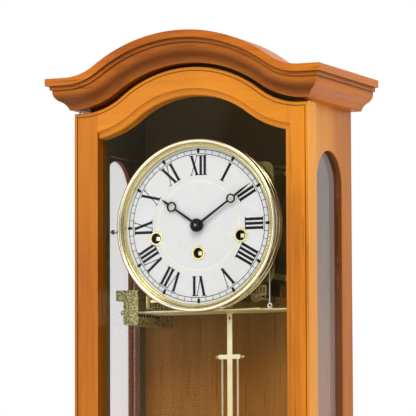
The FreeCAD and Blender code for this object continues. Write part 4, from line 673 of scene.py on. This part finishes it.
def clear_glass(name, square_on, tint):
    """A pane that mirrors the share square_on when it is faced, and all of the light at a grazing angle."""
    paint = Paint(name)
    grazing = paint.node("ShaderNodeLayerWeight", {}, {"Blend": HALF}, "Facing")
    return paint.finish(
        base_color=(*tint, 1.0),
        metallic=1.0,
        roughness=GLASS_ROUGHNESS + paint.noise(*SMEARS) * SMEAR_ROUGHNESS,
        alpha=square_on + grazing ** GRAZING_POWER * (1.0 - square_on),
    )


door_glass_finish = clear_glass("door_glass_clear", square_on=0.003, tint=(0.97, 0.97, 0.97))
side_glass_finish = clear_glass("side_glass_clear", square_on=0.13, tint=(0.95, 0.85, 0.84))
print("panes:", [door_glass_finish.name, side_glass_finish.name])

# %% [markdown]
# The hands and the print are black, and the nut is a smoother black than the ink. The dial is white
# enamel with a thin gold line inside the ring of numerals. The line could be a ring of its own, but print
# that thin has no thickness to see, so it is a colour between two circles.

# %% Black enamel and dial paint
DUST = ((900.0, 900.0, 900.0), 2.0)
DUST_ROUGHNESS = 0.15
BLACKS = [(0.3, (0.002, 0.002, 0.003)), (0.8, (0.006, 0.006, 0.007))]
MOTTLE = ((160.0, 160.0, 160.0), 3.0)
DIAL_WHITES = [(0.3, (0.63, 0.635, 0.63)), (0.7, (0.67, 0.675, 0.67))]
DIAL_GOLDS = [(0.3, (0.80, 0.72, 0.42)), (0.7, (0.88, 0.80, 0.52))]
DIAL_ROUGHNESS = 0.42
MOTTLE_ROUGHNESS = 0.1
MOTTLE_DEPTH = 0.01
GOLD_LINE = 49.7
GOLD_LINE_WIDTH = 1.2
GOLD_LINE_SHARE = 0.8


def black_enamel(name, shine, gloss):
    """Black with a little dust in its gloss."""
    paint = Paint(name)
    dust = paint.noise(*DUST)
    roughness = gloss + dust * DUST_ROUGHNESS
    return paint.finish(base_color=paint.ramp(dust, BLACKS), roughness=roughness, specular=shine)


def dial_paint():
    """White enamel with a very fine texture and a thin gold line."""
    paint = Paint("dial_enamel")
    mottle = paint.noise(*MOTTLE)
    white = paint.ramp(mottle, DIAL_WHITES)
    gold = paint.ramp(mottle, DIAL_GOLDS)
    on_line = between_circles(GOLD_LINE * MM, (GOLD_LINE + GOLD_LINE_WIDTH) * MM, GOLD_LINE_SHARE)
    return paint.finish(
        base_color=paint.blend(on_line(paint), white, gold),
        roughness=DIAL_ROUGHNESS + mottle * MOTTLE_ROUGHNESS,
        normal=paint.bump(mottle, MOTTLE_DEPTH * MM),
    )


black_finish = black_enamel("black_ink", shine=0.2, gloss=0.26)
nut_finish = black_enamel("black_lacquer", shine=0.1, gloss=0.16)
dial_finish = dial_paint()
print("gold line radius:", GOLD_LINE)

# %% [markdown]
# Each hammer is brass with a leather tip. The tip could be a piece of its own, but it is part of the same
# solid, so its pale colour is chosen by height: whatever is lower than the foot of the brass head is
# leather. The hammers stand close together, and the shade between them is painted darker, found in the same
# way as the painted shade in the corners of the wood.

# %% Hammer finish
HAMMER_TIP_HEIGHT = 2.0
PATINA = ((90.0, 90.0, 90.0), 3.0)
HAMMER_BRASSES = [(0.3, (0.78, 0.58, 0.22)), (0.7, (0.90, 0.74, 0.36))]
LEATHERS = [(0.3, (0.74, 0.70, 0.58)), (0.7, (0.86, 0.83, 0.72))]
HAMMER_SHADE = (0.03, 0.02, 0.01)
HAMMER_SHADE_REACH = 10.0
HAMMER_SHADE_SHARE = 1.2
HAMMER_ROUGHNESS = 0.22
LEATHER_ROUGHNESS = 0.5
hammer_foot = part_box("chime_hammer_1")[0][2]


def hammer_brass():
    """Brass above and leather below, with a painted shade where the hammers stand close."""
    paint = Paint("hammer_brass")
    tip = paint.along("Z") < hammer_foot + HAMMER_TIP_HEIGHT * MM
    patina = paint.noise(*PATINA)
    colour = paint.blend(tip, paint.ramp(patina, HAMMER_BRASSES), paint.ramp(patina, LEATHERS))
    shade = paint.shelter(HAMMER_SHADE_REACH * MM, own_piece_only=False) * HAMMER_SHADE_SHARE
    return paint.finish(
        base_color=paint.blend(shade, colour, (*HAMMER_SHADE, 1.0)),
        metallic=1.0 - tip,
        roughness=HAMMER_ROUGHNESS + tip * LEATHER_ROUGHNESS,
    )


hammer_finish = hammer_brass()
print("leather below", round(hammer_foot + HAMMER_TIP_HEIGHT * MM, 4))

# %% [markdown]
# Now each piece of the clock gets the finish that its maker gave it. A piece could be dressed where its
# finish is mixed, but one list shows at a glance which pieces share a finish, and that none is left bare.

# %% Dress the clock
CHIME_HAMMERS = 4
finishes = {
    woods["cherry_sides"]: ["left_side", "right_side"],
    woods["cherry_upright"]: ["door_left_stile", "door_right_stile"],
    woods["cherry_across"]: ["floor_board", "door_top_rail", "door_bottom_rail"],
    woods["cherry_cornice"]: ["cornice_front", "base_moulding"],
    woods["cherry_back_to_wall"]: ["cornice_returns"],
    woods["stained_board"]: ["back_board"],
    woods["stained_rail"]: ["header_rail"],
    woods["stained_roof"]: ["cornice_roof"],
    door_glass_finish: ["door_glass"],
    side_glass_finish: ["side_glasses"],
    metals["bezel_brass"]: ["bezel"],
    metals["grommet_brass"]: ["winding_grommets"],
    metals["arbor_brass"]: ["time_winding_arbor", "strike_winding_arbor", "chime_winding_arbor"],
    metals["rod_brass"]: ["chime_rods"],
    metals["satin_brass"]: ["pendulum_leader", "pendulum_rod", "gridiron", "pendulum_bob", "rating_nut"],
    metals["plate_brass"]: [
        "front_plate", "back_plate", "plate_pillars", "mounting_posts", "suspension_cock"],
    metals["wheel_brass"]: [
        "centre_wheel", "cannon_pinion", "hour_wheel", "minute_wheel", "intermediate_wheel", "third_wheel",
        "escape_wheel", "time_barrel", "strike_barrel", "chime_barrel"],
    hammer_finish: [
        "strike_hammers", *("chime_hammer_%d" % (number + 1) for number in range(CHIME_HAMMERS))],
    metals["gold_enamel"]: ["chime_block"],
    metals["bright_steel"]: ["suspension_spring", "lift_wire", "silence_lever"],
    metals["grey_steel"]: [
        "hammer_shaft", "anchor", "hanger_plate", "door_pivots", "door_catch", "catch_plate"],
    black_finish: ["minute_hand", "hour_hand"],
    nut_finish: ["hand_nut"],
    dial_finish: ["dial_plate"],
}
for finish, names in finishes.items():
    for name in names:
        clock[name].data.materials.clear()
        clock[name].data.materials.append(finish)
print("dressed:", sum(len(names) for names in finishes.values()), "of", len(clock))

# %% [markdown]
# The hours are Roman, printed in black. A font would bring its own idea of them, and the narrow letters
# of a clock dial are plain enough to draw: thick and thin strokes, upright or slanted. A stroke starts as
# a plane of the right size, and its upper edge is then pushed sideways for the slant, its lower edge the
# other way.

# %% Strokes
UPRIGHT = (math.pi / 2, 0.0, 0.0)
NUMERAL_INNER = 57.0
NUMERAL_OUTER = 79.5
NUMERAL_MIDDLE = (NUMERAL_INNER + NUMERAL_OUTER) / 2
NUMERAL_HEIGHT = NUMERAL_OUTER - NUMERAL_INNER
HEAD = 1.0
FOOT = -1.0


def settle():
    """Applies the place, turn and size of the selected objects to their meshes."""
    bpy.ops.object.transform_apply(location=True, rotation=True, scale=True)


def plate(name, width, height, x, z):
    """An upright plane that faces the reader, sizes and place in millimetres."""
    bpy.ops.object.select_all(action="DESELECT")
    bpy.ops.mesh.primitive_plane_add(size=1.0, rotation=UPRIGHT, location=(x * MM, 0.0, z * MM))
    made = bpy.context.object
    made.name = name
    made.scale = (width * MM, height * MM, 1.0)
    settle()
    return made


def select_where(piece, kind, wanted):
    """Goes to edit mode with only those corners or faces of a piece selected for which wanted is true."""
    bpy.ops.object.mode_set(mode="EDIT")
    bpy.ops.mesh.select_mode(type=kind)
    bpy.ops.mesh.select_all(action="DESELECT")
    bpy.ops.object.mode_set(mode="OBJECT")
    parts = {"VERT": piece.data.vertices, "FACE": piece.data.polygons}
    for part in parts[kind]:
        part.select = wanted(part)
    bpy.ops.object.mode_set(mode="EDIT")


def slanted(thickness, middle, lean):
    """A stroke of a numeral, whose head leans sideways by half of lean and whose foot the other way."""
    stroke = plate("stroke", thickness, NUMERAL_HEIGHT, middle, NUMERAL_MIDDLE)
    for end in (HEAD, FOOT):
        select_where(stroke, "VERT", lambda corner: (corner.co.z - NUMERAL_MIDDLE * MM) * end > 0.0)
        bpy.ops.transform.translate(value=(end * lean / 2 * MM, 0.0, 0.0))
        bpy.ops.object.mode_set(mode="OBJECT")
    return stroke


print("numeral height:", NUMERAL_HEIGHT)

# %% [markdown]
# Three letters make all the hours. Each has one or two strokes, with a hairline bar across the ends that
# have one. The bars overlap the strokes, because ink of one colour needs no clean join, and a letter is
# drawn once and copied later.

# %% Letters
THICK = 3.2
THIN = 0.9
SERIF = 1.2
V_THICK_MIDDLE = -2.0
V_THICK_LEAN = -4.6
V_THIN_MIDDLE = 2.3
V_THIN_LEAN = 4.2
X_LEAN = 7.2
LETTER_WIDTH = {"I": 5.0, "V": 11.0, "X": 11.0}


def join(name, pieces):
    """Makes one object of several."""
    bpy.ops.object.select_all(action="DESELECT")
    for piece in pieces:
        piece.select_set(True)
    bpy.context.view_layer.objects.active = pieces[0]
    bpy.ops.object.join()
    pieces[0].name = name
    return pieces[0]


def letter(name, strokes):
    """Strokes are (thickness, middle, lean, which ends have bars)."""
    made = []
    for thickness, middle, lean, ends in strokes:
        made.append(slanted(thickness, middle, lean))
        for end in ends:
            height = NUMERAL_MIDDLE + end * (NUMERAL_HEIGHT - THIN) / 2
            made.append(plate("bar", thickness + 2 * SERIF, THIN, middle + end * lean / 2, height))
    return join(name, made)


letters = {
    "I": letter("letter_I", [(THICK, 0.0, 0.0, (HEAD, FOOT))]),
    "V": letter("letter_V", [
        (THICK, V_THICK_MIDDLE, V_THICK_LEAN, (HEAD,)),
        (THIN, V_THIN_MIDDLE, V_THIN_LEAN, (HEAD,))]),
    "X": letter("letter_X", [
        (THICK, 0.0, -X_LEAN, (HEAD, FOOT)),
        (THIN, 0.0, X_LEAN, (HEAD, FOOT))]),
}
print("letters:", {name: len(made.data.polygons) for name, made in letters.items()})

# %% [markdown]
# Every numeral stands with its foot towards the centre. It is set at twelve from copies of the letters,
# side by side, and then turned to its hour about the middle of the dial. Turning a finished word is
# simpler than placing each letter round a circle, and it keeps the letters of a word parallel as on a
# printed dial.

# %% Twelve numerals
HOURS = ["I", "II", "III", "IIII", "V", "VI", "VII", "VIII", "IX", "X", "XI", "XII"]
HOUR_TURN = 2.0 * math.pi / len(HOURS)


def copy_of(piece):
    """A copy with a mesh of its own."""
    twin = piece.copy()
    twin.data = piece.data.copy()
    bpy.context.collection.objects.link(twin)
    return twin


def numeral(hour, word):
    """The letters of an hour side by side, turned to their place on the dial."""
    start = -sum(LETTER_WIDTH[sign] for sign in word) / 2
    signs = []
    for sign in word:
        twin = copy_of(letters[sign])
        twin.location.x = (start + LETTER_WIDTH[sign] / 2) * MM
        start += LETTER_WIDTH[sign]
        signs.append(twin)
    made = join("hour_%d" % hour, signs)
    settle()
    made.rotation_euler.y = hour * HOUR_TURN
    settle()
    return made


numerals = join("numerals", [numeral(hour, word) for hour, word in enumerate(HOURS, start=1)])
for made in letters.values():
    bpy.data.objects.remove(made)
print("numeral faces:", len(numerals.data.polygons))

# %% [markdown]
# Outside the numerals runs the minute track: two hairline circles with a bar for each minute between
# them, and a broad block at every fifth. A circle's edge is extruded and scaled a little to make a
# hairline ring. One bar is drawn at twelve, and Spin copies it round the dial. An Array about a turned
# empty would do the same, but it needs a second object that has to be removed afterwards.

# %% Minute track
RING_CORNERS = 180
TRACK_INNER = 80.8
TRACK_OUTER = 86.4
HAIRLINE = 0.75
MINUTE_BAR = 0.6
HOUR_BLOCK = 3.2
BLOCK_INNER = 82.4
BLOCK_OUTER = 87.6
MINUTES = 60
MERGE = 0.01


def hairline_ring(name, radius, width):
    """A flat ring round the dial's centre, in the plane of the dial."""
    bpy.ops.object.select_all(action="DESELECT")
    bpy.ops.mesh.primitive_circle_add(vertices=RING_CORNERS, radius=radius * MM, rotation=UPRIGHT)
    ring = bpy.context.object
    ring.name = name
    settle()
    bpy.ops.object.mode_set(mode="EDIT")
    bpy.ops.mesh.select_all(action="SELECT")
    bpy.ops.mesh.extrude_region()
    share = 1.0 - width / radius
    bpy.ops.transform.resize(value=(share, share, share))
    bpy.ops.object.mode_set(mode="OBJECT")
    return ring


def spun_bars(name, width, inner, outer, count):
    """Bars across the track, one drawn at twelve and the rest spun from it."""
    bar = plate(name, width, outer - inner, 0.0, (inner + outer) / 2)
    bpy.ops.object.mode_set(mode="EDIT")
    bpy.ops.mesh.select_all(action="SELECT")
    bpy.ops.mesh.spin(
        steps=count, dupli=True, angle=2.0 * math.pi, center=(0.0, 0.0, 0.0), axis=(0.0, 1.0, 0.0))
    bpy.ops.mesh.select_all(action="SELECT")
    bpy.ops.mesh.remove_doubles(threshold=MERGE * MM)
    bpy.ops.object.mode_set(mode="OBJECT")
    return bar


minute_track = join("minute_track", [
    hairline_ring("track_inside", TRACK_INNER + HAIRLINE, HAIRLINE),
    hairline_ring("track_outside", TRACK_OUTER, HAIRLINE),
    spun_bars("minute_bars", MINUTE_BAR, TRACK_INNER, TRACK_OUTER, MINUTES),
    spun_bars("hour_blocks", HOUR_BLOCK, BLOCK_INNER, BLOCK_OUTER, len(HOURS)),
])
print("track faces:", len(minute_track.data.polygons))

# %% [markdown]
# Print is a coat of ink on the enamel. It could be a colour in the dial's finish, but edges this sharp
# need geometry, so the flat print gets its thickness from a Solidify modifier and is moved onto the dial.
# Its faces are turned the same way first, because Solidify thickens each face along its own normal.

# %% Ink on the dial
INK = 0.06


def apply_tool(piece, kind, **settings):
    """Adds a modifier, sets it and applies it at once."""
    tool = piece.modifiers.new("tool", kind)
    for name, setting in settings.items():
        setattr(tool, name, setting)
    bpy.ops.object.modifier_apply(modifier=tool.name)


for print_piece in (numerals, minute_track):
    bpy.ops.object.select_all(action="DESELECT")
    print_piece.select_set(True)
    bpy.context.view_layer.objects.active = print_piece
    bpy.ops.object.mode_set(mode="EDIT")
    bpy.ops.mesh.select_all(action="SELECT")
    bpy.ops.mesh.normals_make_consistent(inside=False)
    bpy.ops.object.mode_set(mode="OBJECT")
    apply_tool(print_piece, "SOLIDIFY", thickness=INK * MM, offset=0.0)
    print_piece.location = dial_centre + Vector((0.0, -INK * MM, 0.0))
    settle()
    print_piece.data.materials.append(black_finish)
    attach(print_piece, "case")
print("printed:", [numerals.name, minute_track.name])

# %% [markdown]
# The hands are held by a nut that is turned with two fingers, so its rim is knurled. The ridges could be
# cut one by one, but they are all alike: the knurl starts as a short bar with many sides, and every other
# corner is drawn inwards, which turns the smooth rim into ridges at once.

# %% Knurled rim of the hand nut
RIDGE_CORNERS = 64
RIDGE_RADIUS = 7.75
RIDGE_LENGTH = 1.5
RIDGE_GAP = 0.1
RIDGE_SHARE = 0.945
nut_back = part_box("hand_nut")[1][1]
knurl_place = Vector((dial_centre.x, nut_back - (RIDGE_LENGTH / 2 + RIDGE_GAP) * MM, dial_centre.z))
step_round = 2.0 * math.pi / RIDGE_CORNERS


def round_bar(name, corners, radius, length, turn, place):
    """A short bar with many sides, sizes in millimetres, with its place applied."""
    bpy.ops.object.select_all(action="DESELECT")
    bpy.ops.mesh.primitive_cylinder_add(
        vertices=corners, radius=radius * MM, depth=length * MM, rotation=turn, location=place)
    bar = bpy.context.object
    bar.name = name
    settle()
    return bar


def is_valley(corner):
    side = corner.co - knurl_place
    return round(math.atan2(side.x, side.z) / step_round) % 2 == 1


knurl = round_bar("hand_nut_knurl", RIDGE_CORNERS, RIDGE_RADIUS, RIDGE_LENGTH, UPRIGHT, knurl_place)
select_where(knurl, "VERT", is_valley)
bpy.ops.transform.resize(value=(RIDGE_SHARE, 1.0, RIDGE_SHARE), center_override=knurl_place)
bpy.ops.object.mode_set(mode="OBJECT")
knurl.data.materials.append(nut_finish)
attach(knurl, "minute")
print("knurl ridges:", RIDGE_CORNERS // 2)

# %% [markdown]
# The threaded end of the arbor just shows in the middle of the nut. Half a sphere would do, but a turned
# end is flat with a rounded edge: it starts as a short bar, and a bevel of four steps on its front edge
# rounds it to the small dome that catches the light.

# %% Tip of the arbor
TIP_CORNERS = 24
TIP_RADIUS = 1.5
TIP_LENGTH = 1.8
TIP_BEVEL = 0.7
TIP_STEPS = 4
nut_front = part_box("hand_nut")[0][1]
tip_place = Vector((dial_centre.x, nut_front, dial_centre.z))
tip = round_bar("arbor_tip", TIP_CORNERS, TIP_RADIUS, TIP_LENGTH, UPRIGHT, tip_place)
select_where(tip, "VERT", lambda corner: corner.co.y < tip_place.y)
bpy.ops.mesh.bevel(offset=TIP_BEVEL * MM, segments=TIP_STEPS)
bpy.ops.object.mode_set(mode="OBJECT")
tip.data.materials.append(metals["grey_steel"])
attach(tip, "minute")
print("tip faces:", len(tip.data.polygons))

# %% [markdown]
# A slotted sheet of brass on the front plate keeps the hammers in line. Slots could be cut out with a
# Boolean, but a grid already has the right cells: it faces the reader, and the inner cells of every other
# column are deleted, which leaves bars between two rails.

# %% Slots of the hammer comb
COMB_LEFT = 55.0
COMB_RIGHT = 75.0
COMB_TOP = -162.8
COMB_FOOT = -175.0
COMB_COLUMNS = 11
COMB_ROWS = 5
COMB_SHEET = 1.4
plate_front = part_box("hammer_shaft")[0][1]
comb_width = COMB_RIGHT - COMB_LEFT
comb_height = COMB_TOP - COMB_FOOT
comb_middle = Vector((
    (COMB_LEFT + COMB_RIGHT) / 2 * MM, plate_front - COMB_SHEET / 2 * MM, (COMB_TOP + COMB_FOOT) / 2 * MM))


def is_slot(cell):
    column = int((cell.center.x / MM - COMB_LEFT) / comb_width * COMB_COLUMNS)
    row = int((cell.center.z / MM - COMB_FOOT) / comb_height * COMB_ROWS)
    return column % 2 == 1 and 0 < row < COMB_ROWS - 1


bpy.ops.object.select_all(action="DESELECT")
bpy.ops.mesh.primitive_grid_add(
    x_subdivisions=COMB_COLUMNS, y_subdivisions=COMB_ROWS, size=1.0, rotation=UPRIGHT, location=comb_middle)
comb = bpy.context.object
comb.name = "hammer_comb"
comb.scale = (comb_width * MM, comb_height * MM, 1.0)
settle()
select_where(comb, "FACE", is_slot)
bpy.ops.mesh.delete(type="FACE")
bpy.ops.object.mode_set(mode="OBJECT")
print("cells left:", len(comb.data.polygons))

# %% [markdown]
# The cells could stay a flat sheet, but stamped brass has a thickness and slightly rounded edges, and the
# light on those edges is what shows the slots from afar. Solidify gives the thickness and Bevel breaks
# the edges. Both are applied at once, so that the piece is a plain mesh like the others.

# %% Sheet of the hammer comb
COMB_BEVEL = 0.2
apply_tool(comb, "SOLIDIFY", thickness=COMB_SHEET * MM, offset=0.0)
apply_tool(comb, "BEVEL", width=COMB_BEVEL * MM, limit_method="ANGLE")
comb.data.materials.append(metals["comb_brass"])
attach(comb, "case")
print("comb faces:", len(comb.data.polygons))

# %% [markdown]
# Each chime rod is pinched in its block by a hexagon-headed screw below it. One screw is a bar with six
# sides whose front edges are bevelled. It could be repeated by an Array, but copies are placed from the
# measured row of rods, each with a mesh of its own, and the row is joined to one piece at the end.

# %% Rod screws
SCREW_SIDES = 6
SCREW_RADIUS = 1.9
SCREW_HEAD = 0.8
SCREW_BEVEL = 0.2
SCREW_STEPS = 2
SCREW_HEIGHT = -192.2
SCREW_COUNT = 8
FACING_RIGHT = (0.0, math.pi / 2, 0.0)
block_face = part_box("chime_block")[1][0]
first_rod, last_rod = (corner[1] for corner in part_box("chime_rods"))
rod_half = (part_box("chime_rods")[1][2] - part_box("chime_rods")[0][2]) / 2
row_step = (last_rod - first_rod - 2.0 * rod_half) / (SCREW_COUNT - 1)
screw_place = Vector((block_face + SCREW_HEAD / 2 * MM, first_rod + rod_half, SCREW_HEIGHT * MM))

screw = round_bar("rod_screw", SCREW_SIDES, SCREW_RADIUS, SCREW_HEAD, FACING_RIGHT, screw_place)
select_where(screw, "VERT", lambda corner: corner.co.x > screw_place.x)
bpy.ops.mesh.bevel(offset=SCREW_BEVEL * MM, segments=SCREW_STEPS)
bpy.ops.object.mode_set(mode="OBJECT")
screws = [screw]
for row in range(1, SCREW_COUNT):
    twin = copy_of(screw)
    twin.location.y = row * row_step
    screws.append(twin)
rod_screws = join("rod_screws", screws)
settle()
rod_screws.data.materials.append(black_finish)
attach(rod_screws, "case")
print("screws:", SCREW_COUNT, "faces:", len(rod_screws.data.polygons))

# %% [markdown] The clock is dressed.
